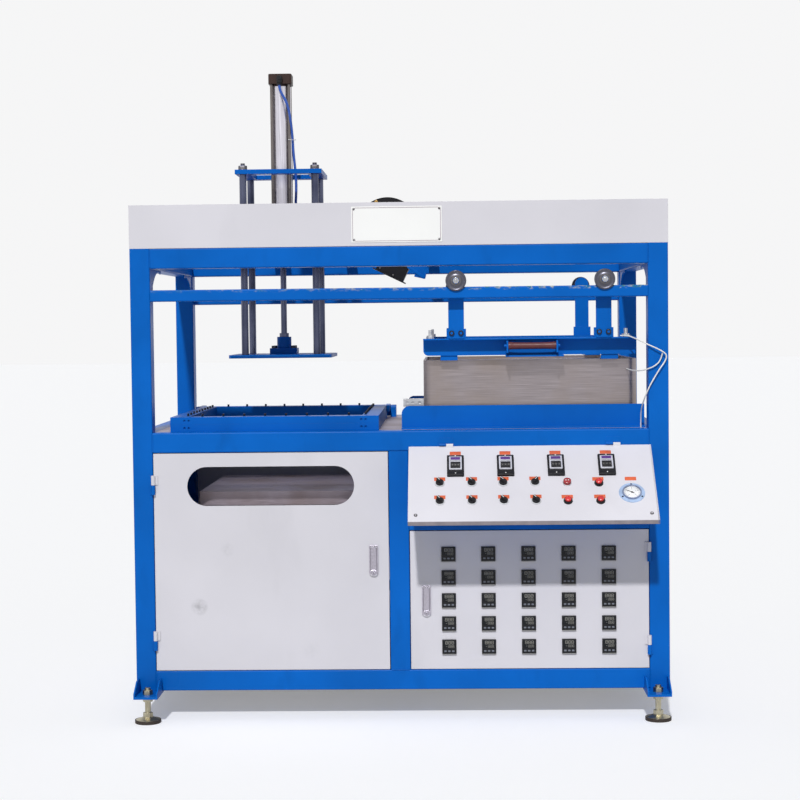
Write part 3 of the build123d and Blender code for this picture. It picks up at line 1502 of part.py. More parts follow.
lead_long = [
    place(1700, 60, 1321.5), place(1722, 52, 1324), place(1747, 30, 1313), place(1766, 6, 1303),
    place(1788, -9, 1291), place(1815, -14, 1279), place(1838, -15, 1267), place(1853, -14, 1254),
    place(1846, -13, 1232), place(1828, -14, 1208), place(1811, -13, 1180), place(1795, -11, 1152),
    place(1784, -4, 1126), place(1777, 14, 1103), place(1773, 38, 1082), place(1771, 62, 1058),
    place(1771, 75, 1030), place(1771.2, 76.2, 1001.5),
]
lead_short = [
    place(1729, 134.7, 1205), place(1732, 104, 1203), place(1740, 70, 1201), place(1752, 36, 1200),
    place(1768, 6, 1201), place(1788, -8, 1207), place(1812, -9, 1217), place(1832, -8.6, 1236),
    place(1838, -9.5, 1262),
]
with BuildPart() as heater_leads:
    add(cord(lead_long, lead_radius))
    add(cord(lead_short, lead_radius))
heater_leads.part.label = "heater_leads"
export_step(heater_leads.part, "parts/heater_leads.step")
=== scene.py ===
"""Looks of a floor-standing vacuum forming machine, laid out as a Blender add-on.

Sizes are in metres unless a name ends in _mm. Places are counted from the machine's left side,
its front and the floor, as a fitter would measure them, and turned into the frame by at().
"""
import math

import bmesh
import bpy
import numpy as np
from mathutils import Matrix, Vector


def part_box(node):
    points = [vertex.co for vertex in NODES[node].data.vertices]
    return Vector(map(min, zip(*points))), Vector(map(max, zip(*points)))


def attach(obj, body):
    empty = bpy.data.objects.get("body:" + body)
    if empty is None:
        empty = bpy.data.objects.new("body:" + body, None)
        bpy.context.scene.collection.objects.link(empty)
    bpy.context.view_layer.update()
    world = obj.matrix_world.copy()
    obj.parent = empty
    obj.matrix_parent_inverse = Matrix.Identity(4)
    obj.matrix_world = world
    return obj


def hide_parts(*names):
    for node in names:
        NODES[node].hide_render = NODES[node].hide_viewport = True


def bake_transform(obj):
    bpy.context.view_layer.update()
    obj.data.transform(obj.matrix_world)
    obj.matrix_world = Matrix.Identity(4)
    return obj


bl_info = {
    "name": "Vacuum Forming Machine",
    "version": (1, 0, 0),
    "blender": (4, 5, 0),
    "location": "View3D > Sidebar > Forming",
    "description": "Builds the finishes, cords and fittings of a vacuum forming machine around its frame",
    "category": "Object",
}

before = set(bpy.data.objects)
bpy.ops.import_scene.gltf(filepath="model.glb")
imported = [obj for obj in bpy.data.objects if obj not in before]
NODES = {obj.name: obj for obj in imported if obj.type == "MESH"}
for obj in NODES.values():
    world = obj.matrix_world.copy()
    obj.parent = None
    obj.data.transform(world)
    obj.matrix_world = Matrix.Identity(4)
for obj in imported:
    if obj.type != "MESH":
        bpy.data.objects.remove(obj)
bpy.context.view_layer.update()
MM = 0.001
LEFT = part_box("frame_posts")[0].x
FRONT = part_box("frame_posts")[0].y
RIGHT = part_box("frame_posts")[1].x
TRACK_TOP = 1.497
LID_SLOPE = (0.7487, 0.6629)
LID_TOP = (FRONT - 0.0016, 0.946)
FINISHES = {}


def in_mm(*rows):
    """Rows of numbers in millimetres, as the same rows in metres."""
    return (np.array(rows, float) * MM).tolist()


def at(x_mm, y_mm, z_mm):
    """Point of the frame from millimetres right of the left side, behind the front and above the floor."""
    return np.array([LEFT + x_mm * MM, FRONT + y_mm * MM, z_mm * MM])


# ---- Surfaces ----


class Place:
    """A local frame: an origin and three unit axes, into which flat work is set."""

    def __init__(self, origin, right, up):
        self.origin = np.array(origin, float)
        self.right = np.array(right, float) / np.linalg.norm(right)
        up = np.array(up, float)
        up = up - self.right * (up @ self.right)
        self.up = up / np.linalg.norm(up)
        self.out = np.cross(self.right, self.up)

    def put(self, points):
        """Local x, y, z carried along the three axes."""
        points = np.asarray(points, float)
        return (
            self.origin
            + points[..., 0:1] * self.right
            + points[..., 1:2] * self.up
            + points[..., 2:3] * self.out
        )

    def shifted(self, x=0.0, y=0.0, z=0.0):
        """The same axes from a point x, y, z away."""
        return Place(self.put([x, y, z]), self.right, self.up)

    def turned(self, degrees):
        """The same origin with the flat axes turned counter-clockwise."""
        turn = math.radians(degrees)
        right = self.right * math.cos(turn) + self.up * math.sin(turn)
        up = self.up * math.cos(turn) - self.right * math.sin(turn)
        return Place(self.origin, right, up)


def facing_front(x_mm, y_mm, z_mm):
    """Place on an upright front face, with its z axis towards the viewer."""
    return Place(at(x_mm, y_mm, z_mm), (1, 0, 0), (0, 0, 1))


def level(x_mm, y_mm, z_mm):
    """Place on a level face, with its z axis upwards."""
    return Place(at(x_mm, y_mm, z_mm), (1, 0, 0), (0, 1, 0))


def quads(rows, columns, closed_rows=False, closed_columns=False):
    """Corner numbers of a grid's four-sided faces; a closed direction joins its last line to its first."""
    row = np.arange(rows if closed_rows else rows - 1)
    column = np.arange(columns if closed_columns else columns - 1)
    r, c = [part.ravel() for part in np.meshgrid(row, column, indexing="ij")]
    r_next, c_next = (r + 1) % rows, (c + 1) % columns
    this, after = r * columns, r_next * columns
    return np.stack([this + c, this + c_next, after + c_next, after + c], 1)


def piece(name, sheets, finish, body, sharp=34.0):
    """Mesh object from grids of points, each (points, closed_rows, closed_columns), welded at its seams.

    Without a body it has no parent yet; the air line's maker then says what it rides on.
    """
    points, faces, start = [], [], 0
    for grid, closed_rows, closed_columns in sheets:
        rows, columns = grid.shape[:2]
        points.append(grid.reshape(-1, 3))
        faces.append(quads(rows, columns, closed_rows, closed_columns) + start)
        start += rows * columns
    mesh = bpy.data.meshes.new(name)
    mesh.from_pydata(np.concatenate(points).tolist(), [], np.concatenate(faces).tolist())
    shell = bmesh.new()
    shell.from_mesh(mesh)
    bmesh.ops.remove_doubles(shell, verts=shell.verts, dist=1e-6)
    bmesh.ops.dissolve_degenerate(shell, edges=shell.edges, dist=1e-7)
    bmesh.ops.recalc_face_normals(shell, faces=shell.faces)
    shell.to_mesh(mesh)
    shell.free()
    mesh.shade_smooth()
    mesh.set_sharp_from_angle(angle=math.radians(sharp))
    mesh.materials.append(FINISHES[finish])
    made = bpy.data.objects.new(name, mesh)
    bpy.context.scene.collection.objects.link(made)
    if body:
        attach(made, body)
    return made


def round_outline(width, length, radius, steps=5):
    """Rectangle with quarter-circle corners: each corner's centre plus the radius times (cos, sin)."""
    angles = np.radians(np.arange(4)[:, None] * 90 + np.linspace(0, 90, steps)[None, :])
    centres = np.array([[1, 1], [-1, 1], [-1, -1], [1, -1]]) * [width / 2 - radius, length / 2 - radius]
    corner = np.stack([np.cos(angles), np.sin(angles)], -1) * radius
    return (centres[:, None, :] + corner).reshape(-1, 2)


def circle_outline(radius, steps=40):
    """Points at equal angles on a circle."""
    angles = np.linspace(0, 2 * math.pi, steps, endpoint=False)
    return np.stack([np.cos(angles), np.sin(angles)], -1) * radius


def drawn_in(outline, inset):
    """Outline moved inwards: each point goes along the mean of the normals of its two edges."""
    before = outline - np.roll(outline, 1, 0)
    after = np.roll(outline, -1, 0) - outline
    normals = np.zeros_like(outline)
    for edge in (before, after):
        length = np.maximum(np.linalg.norm(edge, axis=1, keepdims=True), 1e-9)
        normals += np.stack([-edge[:, 1], edge[:, 0]], -1) / length
    size = np.maximum(np.linalg.norm(normals, axis=1, keepdims=True), 1e-9)
    return outline + normals / size * inset


def stacked(outline, profile, place):
    """Closed form over an outline: for each (inset, height) of the profile, it is drawn in and raised."""
    count = len(outline)
    rings = [np.column_stack([drawn_in(outline, inset), np.full(count, height)]) for inset, height in profile]
    middle = np.tile(outline.mean(0), (count, 1))
    bottom, top = (np.column_stack([middle, ring[:, 2]]) for ring in (rings[0], rings[-1]))
    rings = [bottom, *rings, top]
    return place.put(np.stack(rings)), False, True


def slab(width, length, height, place, radius=2.0 * MM, edge=0.6 * MM):
    """Rounded plate with a small rolled edge on its outer face."""
    outline = round_outline(width, length, radius)
    profile = [(0, 0), (0, height - edge), (edge * 0.3, height - edge * 0.3), (edge, height)]
    return stacked(outline, profile, place)


def turned(profile, place, steps=40):
    """Turned form: the profile's (radius, height) swept through a full turn about the place's z axis."""
    profile = np.asarray(profile, float)
    angles = np.linspace(0, 2 * math.pi, steps, endpoint=False)
    ring = np.stack([np.cos(angles), np.sin(angles)], -1)
    flat = profile[:, None, 0:1] * ring[None]
    heights = np.broadcast_to(profile[:, None, 1:2], flat.shape[:2] + (1,))
    return place.put(np.concatenate([flat, heights], -1)), False, True


def frame_ring(outer, inner, low, high, place, edge=0.5 * MM):
    """Ring between two outlines of as many points: up the outer wall, over the top, down the inner wall."""
    path = [
        (outer, 0, low), (outer, 0, high - edge), (outer, edge, high),
        (inner, -edge, high), (inner, 0, high - edge), (inner, 0, low),
    ]
    count = len(outer)
    rings = [np.column_stack([drawn_in(line, inset), np.full(count, height)]) for line, inset, height in path]
    return place.put(np.stack(rings)), True, True


def along(path, radius_of, steps=10):
    """Tube along a path: at each point a circle square to the path, its radius given by radius_of(share)."""
    path = np.asarray(path, float)
    tangent = np.gradient(path, axis=0)
    tangent /= np.linalg.norm(tangent, axis=1, keepdims=True)
    guide = np.array([0.31, 0.53, 0.79])
    side = np.cross(tangent, guide)
    side /= np.linalg.norm(side, axis=1, keepdims=True)
    other = np.cross(tangent, side)
    angles = np.linspace(0, 2 * math.pi, steps, endpoint=False)
    radius = radius_of(np.linspace(0, 1, len(path)))[:, None, None]
    ring = side[:, None] * np.cos(angles)[None, :, None] + other[:, None] * np.sin(angles)[None, :, None]
    tube = path[:, None] + ring * radius
    first, last = np.repeat(path[:1, None], steps, 1), np.repeat(path[-1:, None], steps, 1)
    return np.concatenate([first, tube, last]), False, True


def box_of(low, high, place=None, edge=0.4 * MM):
    """Block between two local corners with rolled edges."""
    low, high = np.array(low, float), np.array(high, float)
    size = high - low
    middle = (low + high) / 2
    base = (place or Place((0, 0, 0), (1, 0, 0), (0, 1, 0))).shifted(middle[0], middle[1], low[2])
    outline = round_outline(size[0], size[1], edge * 2, 3)
    return stacked(outline, [(edge, 0), (0, edge), (0, size[2] - edge), (edge, size[2])], base)


# ---- Finishes ----


def tint(red, green, blue):
    """Colour written in screen values from 0 to 255, as the linear values that shaders take."""
    values = np.array([red, green, blue]) / 255
    linear = np.where(values <= 0.04045, values / 12.92, ((values + 0.055) / 1.055) ** 2.4)
    return (*linear.tolist(), 1.0)


def shade(colour, factor):
    """Linear colour made lighter or darker by a factor."""
    return (*[min(1.0, part * factor) for part in colour[:3]], 1.0)


class Finish:
    """One material's nodes, with short words for what this machine's surfaces need."""

    def __init__(self, name, colour, roughness, metal=0.0, coat=0.0, sheen_level=0.5):
        self.material = bpy.data.materials.new(name)
        self.material.use_nodes = True
        self.material.diffuse_color = colour
        self.tree = self.material.node_tree
        self.shader = self.tree.nodes["Principled BSDF"]
        self.shader.inputs["Base Color"].default_value = colour
        self.shader.inputs["Roughness"].default_value = roughness
        self.shader.inputs["Metallic"].default_value = metal
        self.shader.inputs["Coat Weight"].default_value = coat
        self.shader.inputs["Coat Roughness"].default_value = 0.2
        self.shader.inputs["Specular IOR Level"].default_value = sheen_level
        self.coordinates = self.tree.nodes.new("ShaderNodeTexCoord").outputs["Object"]
        self.height = None
        FINISHES[name] = self.material

    def node(self, kind, values, **settings):
        """Node of a kind, with its settings, and its inputs linked or set."""
        made = self.tree.nodes.new("ShaderNode" + kind)
        for key, value in settings.items():
            setattr(made, key, value)
        for key, value in values.items():
            if isinstance(value, bpy.types.NodeSocket):
                self.tree.links.new(value, made.inputs[key])
            else:
                made.inputs[key].default_value = value
        return made

    def noise(self, scale, detail=3.0, stretch=(1, 1, 1)):
        """Cloudy value from 0 to 1; stretch below 1 draws it out along that axis."""
        vector = self.node("Mapping", {"Vector": self.coordinates, "Scale": stretch}).outputs[0]
        values = {"Vector": vector, "Scale": scale, "Detail": detail, "Roughness": 0.5}
        return self.node("TexNoise", values).outputs["Fac"]

    def spread(self, value, low, high, to_low=0.0, to_high=1.0):
        """Value stretched from low..high to to_low..to_high, and held at the ends."""
        values = {"Value": value, "From Min": low, "From Max": high, "To Min": to_low, "To Max": to_high}
        return self.node("MapRange", values).outputs["Result"]

    def maths(self, operation, a, b=0.0):
        """One arithmetic step on two values."""
        return self.node("Math", {0: a, 1: b}, operation=operation).outputs[0]

    def axis(self, name):
        """One coordinate of the point, in metres."""
        return self.node("SeparateXYZ", {0: self.coordinates}).outputs[name]

    def spot(self, centre, radius, soft):
        """1 inside a ball and 0 outside, with a soft rim."""
        ends = {0: self.coordinates, 1: tuple(centre)}
        offset = self.node("VectorMath", ends, operation="DISTANCE").outputs["Value"]
        return self.spread(offset, radius, radius + soft, 1.0, 0.0)

    def edges(self, width, low=0.02, high=0.3):
        """1 on sharp outer edges and 0 on flats: how far the rounded normal leans from the true one."""
        rounded = self.node("Bevel", {"Radius": width}, samples=4).outputs["Normal"]
        true = self.node("NewGeometry", {}).outputs["Normal"]
        lean = self.node("VectorMath", {0: rounded, 1: true}, operation="DOT_PRODUCT").outputs["Value"]
        return self.spread(lean, 1 - low, 1 - high)

    def mixed(self, factor, first, second):
        """Colour between two colours."""
        mix = self.tree.nodes.new("ShaderNodeMix")
        mix.data_type = "RGBA"
        for slot, value in ((0, factor), (6, first), (7, second)):
            if isinstance(value, bpy.types.NodeSocket):
                self.tree.links.new(value, mix.inputs[slot])
            else:
                mix.inputs[slot].default_value = value
        return mix.outputs[2]

    def colour(self, value):
        self.tree.links.new(value, self.shader.inputs["Base Color"])

    def rough(self, value):
        self.tree.links.new(value, self.shader.inputs["Roughness"])

    def metal(self, value):
        self.tree.links.new(value, self.shader.inputs["Metallic"])

    def bump(self, value, strength, distance=0.001, rounding=0.0):
        """Relief from a value, laid over edges rounded by a small radius."""
        values = {"Height": value, "Strength": strength, "Distance": distance}
        if rounding:
            values["Normal"] = self.node("Bevel", {"Radius": rounding}, samples=4).outputs["Normal"]
        relief = self.node("Bump", values)
        self.tree.links.new(relief.outputs["Normal"], self.shader.inputs["Normal"])


def enamel(name, colour, wear_colour, wear=0.25):
    """Brushed-on gloss enamel over welded steel: slight waves, cloudy tone, chips along edges."""
    made = Finish(name, colour, 0.34, sheen_level=0.1)
    cloud = made.noise(3.5, 4)
    fine = made.noise(260, 2)
    tone = made.mixed(made.spread(cloud, 0.3, 0.7), shade(colour, 0.86), shade(colour, 1.1))
    grime = made.spread(made.noise(14, 6, (1, 1, 0.35)), 0.58, 0.8, 0.0, 0.35)
    tone = made.mixed(grime, tone, shade(colour, 0.55))
    chips = made.maths("MULTIPLY", made.edges(0.0022), made.spread(made.noise(90, 5), 0.56, 0.66, 0.0, wear))
    made.colour(made.mixed(chips, tone, wear_colour))
    made.rough(made.spread(cloud, 0.25, 0.75, 0.26, 0.46))
    made.bump(made.maths("ADD", fine, made.maths("MULTIPLY", made.noise(38, 3), 2.0)), 0.10, 0.0006, 0.0012)
    return made


def track_enamel(name, colour):
    """The same enamel, rubbed through in speckles where the wheels run and more so to the right."""
    made = Finish(name, colour, 0.36, sheen_level=0.1)
    cloud = made.noise(3.5, 4)
    tone = made.mixed(made.spread(cloud, 0.3, 0.7), shade(colour, 0.86), shade(colour, 1.1))
    running = made.spread(made.axis("Z"), TRACK_TOP - 0.013, TRACK_TOP - 0.001)
    below = made.spread(made.axis("Z"), TRACK_TOP + 0.001, TRACK_TOP + 0.002, 1.0, 0.0)
    rightward = made.spread(made.axis("X"), LEFT + 0.2, RIGHT - 0.3, 0.30, 0.95)
    speckle = made.spread(made.noise(95, 6, (0.45, 1, 1)), 0.50, 0.60)
    edge = made.maths("MULTIPLY", running, below)
    rubbed = made.maths("MULTIPLY", edge, made.maths("MULTIPLY", speckle, rightward))
    bare = made.mixed(made.spread(made.noise(34, 3), 0.42, 0.56), tint(176, 176, 150), tint(44, 118, 108))
    bare = made.mixed(made.spread(made.noise(150, 2), 0.56, 0.66), bare, tint(214, 206, 176))
    made.colour(made.mixed(rubbed, tone, bare))
    made.rough(made.spread(rubbed, 0, 1, 0.36, 0.55))
    made.bump(made.maths("SUBTRACT", made.noise(260, 2), rubbed), 0.12, 0.0006, 0.0012)
    return made


def powder(name, colour, smudges=(), shaded_below=None):
    """Powder-coated sheet: fine pimples, faint clouds, rubbed dirt in places, and painted shade in grey on
    its lowest edge below a given height.
    """
    made = Finish(name, colour, 0.42, sheen_level=0.4)
    cloud = made.noise(2.2, 5)
    tone = made.mixed(made.spread(cloud, 0.25, 0.75), shade(colour, 0.93), shade(colour, 1.04))
    streak = made.spread(made.noise(7, 6, (1, 1, 0.3)), 0.60, 0.82, 0.0, 0.22)
    tone = made.mixed(streak, tone, shade(colour, 0.72))
    for centre, radius, strength in smudges:
        patchy = made.spread(made.noise(55, 4), 0.3, 0.7)
        rubbed = made.maths("MULTIPLY", made.spot(centre, radius * 0.35, radius), patchy)
        tone = made.mixed(made.maths("MULTIPLY", rubbed, strength), tone, shade(colour, 0.22))
    seam = made.maths("MULTIPLY", made.edges(0.002), made.spread(made.noise(70, 4), 0.5, 0.62, 0.05, 0.4))
    tone = made.mixed(seam, tone, shade(colour, 0.5))
    # Below the given height the colour turns grey with faint clouds: painted shade on a lower edge that faces
    # away from the light.
    if shaded_below:
        lip_shade = made.spread(made.axis("Z"), shaded_below - 0.001, shaded_below + 0.001, 1.0, 0.0)
        tone = made.mixed(lip_shade, tone, made.mixed(made.noise(40, 4), tint(112, 106, 112), tint(150, 142, 146)))
    made.colour(tone)
    made.rough(made.spread(cloud, 0.3, 0.7, 0.36, 0.5))
    made.bump(made.noise(900, 2), 0.10, 0.0004, 0.0014)
    return made


def brushed(name, colour, stretch, roughness, stain=None, scratches=0.25):
    """Ground or rolled metal: grain drawn out along one way, cloudy gloss, optional heat or oil stains."""
    made = Finish(name, colour, roughness, metal=1.0)
    grain = made.noise(420, 4, stretch)
    cloud = made.noise(5, 5)
    tone = made.mixed(made.spread(grain, 0.3, 0.7), shade(colour, 0.8), shade(colour, 1.15))
    if stain:
        spread = made.spread(cloud, 0.42, 0.68)
        tone = made.mixed(made.maths("MULTIPLY", spread, 0.75), tone, stain)
    made.colour(tone)
    made.rough(made.spread(made.maths("ADD", grain, cloud), 0.6, 1.4, roughness - 0.08, roughness + 0.14))
    made.bump(grain, scratches, 0.0003, 0.001)
    return made


def moulded(name, colour, roughness, grain=700, relief=0.12, coat=0.0, sheen_level=0.5):
    """Moulded plastic or rubber: fine spark-erosion grain and a slight change of tone."""
    made = Finish(name, colour, roughness, coat=coat, sheen_level=sheen_level)
    cloud = made.noise(30, 3)
    made.colour(made.mixed(made.spread(cloud, 0.3, 0.7), shade(colour, 0.85), shade(colour, 1.15)))
    made.rough(made.spread(made.noise(grain / 3, 3), 0.3, 0.7, max(roughness - 0.06, 0.05), roughness + 0.08))
    made.bump(made.noise(grain, 2), relief, 0.0003, 0.0005)
    return made


def make_finishes(colours):
    """All the machine's finishes, under the names that its pieces use."""
    blue, grey = (*colours.frame_blue, 1.0), (*colours.sheet_grey, 1.0)
    enamel("frame_enamel", blue, tint(70, 84, 100))
    track_enamel("track_enamel", blue)
    marks = [(at(225, 0, 392), 0.024, 0.55), (at(326, 0, 592), 0.02, 0.16), (at(610, 0, 240), 0.03, 0.06)]
    powder("sheet_enamel", grey, marks)
    powder("fascia_enamel", shade(grey, 1.02))
    # The grey under 0.7132 m is painted shade on the lid's lower return edge.
    powder("lid_enamel", shade(grey, 1.12), shaded_below=0.7132)
    powder("white_plate", tint(240, 240, 238))
    brushed("heater_stainless", tint(150, 142, 144), (0.02, 0.02, 1), 0.38, tint(140, 128, 120))
    brushed("table_steel", tint(178, 168, 180), (0.05, 1, 1), 0.5, tint(146, 130, 128))
    brushed("zinc", tint(178, 172, 150), (1, 1, 0.2), 0.38, tint(120, 108, 82))
    brushed("bright_steel", tint(188, 190, 194), (1, 1, 0.1), 0.24)
    brushed("oiled_steel", tint(58, 62, 74), (1, 1, 0.04), 0.3, tint(34, 36, 44))
    brushed("cylinder_tube", tint(214, 211, 220), (1, 1, 0.02), 0.28)
    brushed("guide_steel", tint(96, 100, 122), (1, 1, 0.02), 0.26, tint(58, 62, 84))
    brushed("chrome_plate", tint(214, 214, 216), (1, 1, 0.5), 0.13, scratches=0.05)
    brushed("aluminium", tint(196, 197, 200), (0.05, 1, 1), 0.36)
    moulded("cap_paint", tint(58, 42, 38), 0.42, 500, 0.2, sheen_level=0.2)
    moulded("blower_paint", tint(24, 23, 27), 0.42, 420, 0.3, sheen_level=0.2)
    moulded("black_plastic", tint(24, 24, 28), 0.4, sheen_level=0.25)
    moulded("instrument_black", tint(20, 20, 24), 0.34, sheen_level=0.25)
    moulded("knob_white", tint(232, 232, 230), 0.4)
    moulded("red_plastic", tint(206, 34, 34), 0.26, 900, 0.05, coat=0.4)
    moulded("orange_label", tint(214, 98, 58), 0.46, 1200, 0.1)
    moulded("hose_blue", tint(26, 82, 178), 0.22, 900, 0.05, coat=0.35)
    moulded("tie_white", tint(228, 228, 224), 0.45)
    moulded("lead_white", tint(226, 225, 220), 0.55, 1200, 0.3)
    moulded("rubber_foot", tint(44, 34, 28), 0.72, 600, 0.4)
    moulded("maroon_grip", tint(88, 34, 34), 0.46, 300, 0.35)
    moulded("ceramic", tint(206, 200, 188), 0.6)
    moulded("bezel_silver", tint(205, 206, 210), 0.3)
    moulded("ink_black", tint(24, 24, 28), 0.5)
    moulded("ink_navy", tint(52, 58, 74), 0.5)
    moulded("strip_purple", tint(88, 50, 128), 0.3)
    moulded("meter_glass", tint(24, 26, 30), 0.2, sheen_level=0.2)
    moulded("meter_digit", tint(140, 138, 130), 0.5)
    moulded("gauge_case", tint(168, 190, 222), 0.3, sheen_level=0.3)
    moulded("gauge_ring", tint(126, 138, 168), 0.3, sheen_level=0.3)
    moulded("gauge_dial", tint(244, 245, 246), 0.4)
    moulded("tank_paint", tint(78, 106, 128), 0.4, 200, 0.2)
    moulded("timer_face", tint(196, 196, 206), 0.34)
    moulded("lamp_red", tint(158, 24, 34), 0.2, 900, 0.05, coat=0.5)
    # Light grey for the strip under each controller: painted highlight of the case's lower side.
    moulded("meter_lit_edge", tint(140, 138, 136), 0.4)
    moulded("meter_key", tint(108, 112, 122), 0.4)
    moulded("plate_ink", tint(132, 104, 124), 0.45)
    brushed("lever_chrome", tint(178, 173, 184), (1, 1, 0.4), 0.34, scratches=0.08)
    brushed("dull_steel", tint(104, 102, 106), (1, 1, 0.6), 0.4, tint(72, 68, 66))
    brushed("wheel_steel", tint(92, 92, 102), (1, 1, 1), 0.34, tint(58, 58, 66))
    # Dark steel of the tie rods: partly their own tone and partly painted reflection standing for the
    # cylinder tube's dark sides.
    brushed("tie_rod_steel_dark_reflection", tint(116, 110, 108), (1, 1, 0.02), 0.42)
    brushed("brass", tint(188, 152, 92), (1, 1, 0.4), 0.34)


# ---- Sizes and colours that a user would change ----


class ForgeStudio(bpy.types.PropertyGroup):
    """The viewing place and the light."""

    eye: bpy.props.FloatVectorProperty(
        name="Eye", description="Place of the camera", subtype="TRANSLATION",
        default=tuple(at(1100.12, -6222.81, 1371.83)),
    )
    turn: bpy.props.FloatProperty(
        name="Turn", description="Turn to the left", subtype="ANGLE", default=0.02689
    )
    dip: bpy.props.FloatProperty(
        name="Dip", description="Look downwards", subtype="ANGLE", default=0.04235
    )
    tilt: bpy.props.FloatProperty(
        name="Tilt", description="Lean of the horizon", subtype="ANGLE", default=0.01115
    )
    lens_mm: bpy.props.FloatProperty(name="Lens", description="Focal length", default=81.0, min=20.0)
    sensor_mm: bpy.props.FloatProperty(name="Sensor", description="Sensor width", default=36.0, min=8.0)
    key: bpy.props.FloatProperty(
        name="Key", description="Strength of the broad light above the camera", default=2.55
    )
    softness: bpy.props.FloatProperty(
        name="Softness", description="Angle that the light is wide", subtype="ANGLE",
        default=math.radians(2.4),
    )
    bearing: bpy.props.FloatVectorProperty(
        name="Bearing", description="Way to the light", subtype="DIRECTION", default=(-0.10, -1.0, 0.91)
    )
    sky: bpy.props.FloatProperty(
        name="Sky", description="Strength of the even light all round", default=0.30
    )
    backdrop: bpy.props.FloatProperty(
        name="Backdrop", description="Brightness of what lies behind", default=0.92
    )
    floor_glow: bpy.props.FloatProperty(
        name="Floor glow", description="Light of the floor itself, seen by the camera", default=0.265
    )


class ForgeColours(bpy.types.PropertyGroup):
    """Paint colours, as linear values."""

    frame_blue: bpy.props.FloatVectorProperty(
        name="Frame", description="Enamel on the welded frame", subtype="COLOR", size=3,
        default=tint(3, 96, 186)[:3],
    )
    sheet_grey: bpy.props.FloatVectorProperty(
        name="Sheets", description="Powder coat on doors and panels", subtype="COLOR", size=3,
        default=tint(208, 206, 212)[:3],
    )


class ForgeCords(bpy.types.PropertyGroup):
    """Air line and heater leads."""

    hose: bpy.props.FloatProperty(
        name="Hose", description="Diameter of the air line", unit="LENGTH", default=0.010
    )
    lead: bpy.props.FloatProperty(
        name="Lead", description="Diameter of a heater lead", unit="LENGTH", default=0.0046
    )
    hose_length: bpy.props.FloatProperty(
        name="Hose length", description="Length of the air line", unit="LENGTH", default=0.525
    )
    long_length: bpy.props.FloatProperty(
        name="Long lead", description="Length of the long lead", unit="LENGTH", default=0.494
    )
    short_length: bpy.props.FloatProperty(
        name="Short lead", description="Length of the short lead", unit="LENGTH", default=0.239
    )


# ---- Stage ----


class FORGE_OT_stage(bpy.types.Operator):
    """Floor, soft studio light and the camera at the photograph's place"""

    bl_idname = "forge.stage"
    bl_label = "Stage"

    def execute(self, context):
        studio = context.scene.forge_studio
        self.camera(studio)
        self.floor(studio)
        self.lamps(studio)
        self.sky(studio)
        context.scene.view_settings.view_transform = "Standard"
        return {"FINISHED"}

    def camera(self, studio):
        """Camera whose axes come from a turn to the left, a dip and a lean."""
        turn, dip, tilt = studio.turn, studio.dip, studio.tilt
        ahead = np.array([-math.sin(turn) * math.cos(dip), math.cos(turn) * math.cos(dip), -math.sin(dip)])
        right = np.array([math.cos(turn), math.sin(turn), 0.0])
        down = np.cross(ahead, right)
        leaning = right * math.cos(tilt) + down * math.sin(tilt)
        sinking = down * math.cos(tilt) - right * math.sin(tilt)
        lens = bpy.data.cameras.new("camera")
        lens.lens = studio.lens_mm
        lens.sensor_width = studio.sensor_mm
        lens.clip_end = 200
        camera = bpy.data.objects.new("camera", lens)
        bpy.context.scene.collection.objects.link(camera)
        axes = Matrix([leaning, -sinking, -ahead]).transposed().to_4x4()
        camera.matrix_world = Matrix.Translation(studio.eye) @ axes
        bpy.context.scene.camera = camera

    def floor(self, studio):
        """Large pale floor, partly lit by itself so that its far edge meets the backdrop unseen."""
        made = Finish("studio_floor", tint(230, 230, 231), 0.9, sheen_level=0.05)
        made.shader.inputs["Emission Color"].default_value = (1, 1, 1, 1)
        path = made.tree.nodes.new("ShaderNodeLightPath")
        seen = made.maths("MAXIMUM", path.outputs["Is Camera Ray"], path.outputs["Is Glossy Ray"])
        glow = made.maths("MULTIPLY", seen, studio.floor_glow)
        made.tree.links.new(glow, made.shader.inputs["Emission Strength"])
        mesh = bpy.data.meshes.new("floor")
        size = 60.0
        corners = [(-size, -size, 0), (size, -size, 0), (size, size, 0), (-size, size, 0)]
        mesh.from_pydata(corners, [], [(0, 1, 2, 3)])
        mesh.materials.append(made.material)
        floor = bpy.data.objects.new("floor", mesh)
        bpy.context.scene.collection.objects.link(floor)

    def lamps(self, studio):
        """One broad parallel light from above the camera, a little to the left."""
        light = bpy.data.lights.new("key", "SUN")
        light.energy = studio.key
        light.angle = studio.softness
        lamp = bpy.data.objects.new("key", light)
        lamp.location = Vector(studio.bearing) * 8
        lamp.rotation_euler = Vector(studio.bearing).to_track_quat("Z", "Y").to_euler()
        bpy.context.scene.collection.objects.link(lamp)

    def sky(self, studio):
        """Even pale light; what the camera and polished metal see of it is near white."""
        world = bpy.data.worlds.new("studio")
        bpy.context.scene.world = world
        world.use_nodes = True
        tree = world.node_tree
        tree.nodes.clear()
        path = tree.nodes.new("ShaderNodeLightPath")
        seen = path.outputs["Is Camera Ray"]
        for kind in ("Is Glossy Ray", "Is Transmission Ray"):
            either = tree.nodes.new("ShaderNodeMath")
            either.operation = "MAXIMUM"
            tree.links.new(seen, either.inputs[0])
            tree.links.new(path.outputs[kind], either.inputs[1])
            seen = either.outputs[0]
        lit = tree.nodes.new("ShaderNodeBackground")
        lit.inputs["Color"].default_value = (0.93, 0.96, 1.0, 1)
        lit.inputs["Strength"].default_value = studio.sky
        pale = tree.nodes.new("ShaderNodeBackground")
        pale.inputs["Color"].default_value = (1.0, 1.0, 1.005, 1)
        pale.inputs["Strength"].default_value = studio.backdrop
        mix = tree.nodes.new("ShaderNodeMixShader")
        out = tree.nodes.new("ShaderNodeOutputWorld")
        tree.links.new(seen, mix.inputs[0])
        tree.links.new(lit.outputs[0], mix.inputs[1])
        tree.links.new(pale.outputs[0], mix.inputs[2])
        tree.links.new(mix.outputs[0], out.inputs[0])


# ---- Frame ----

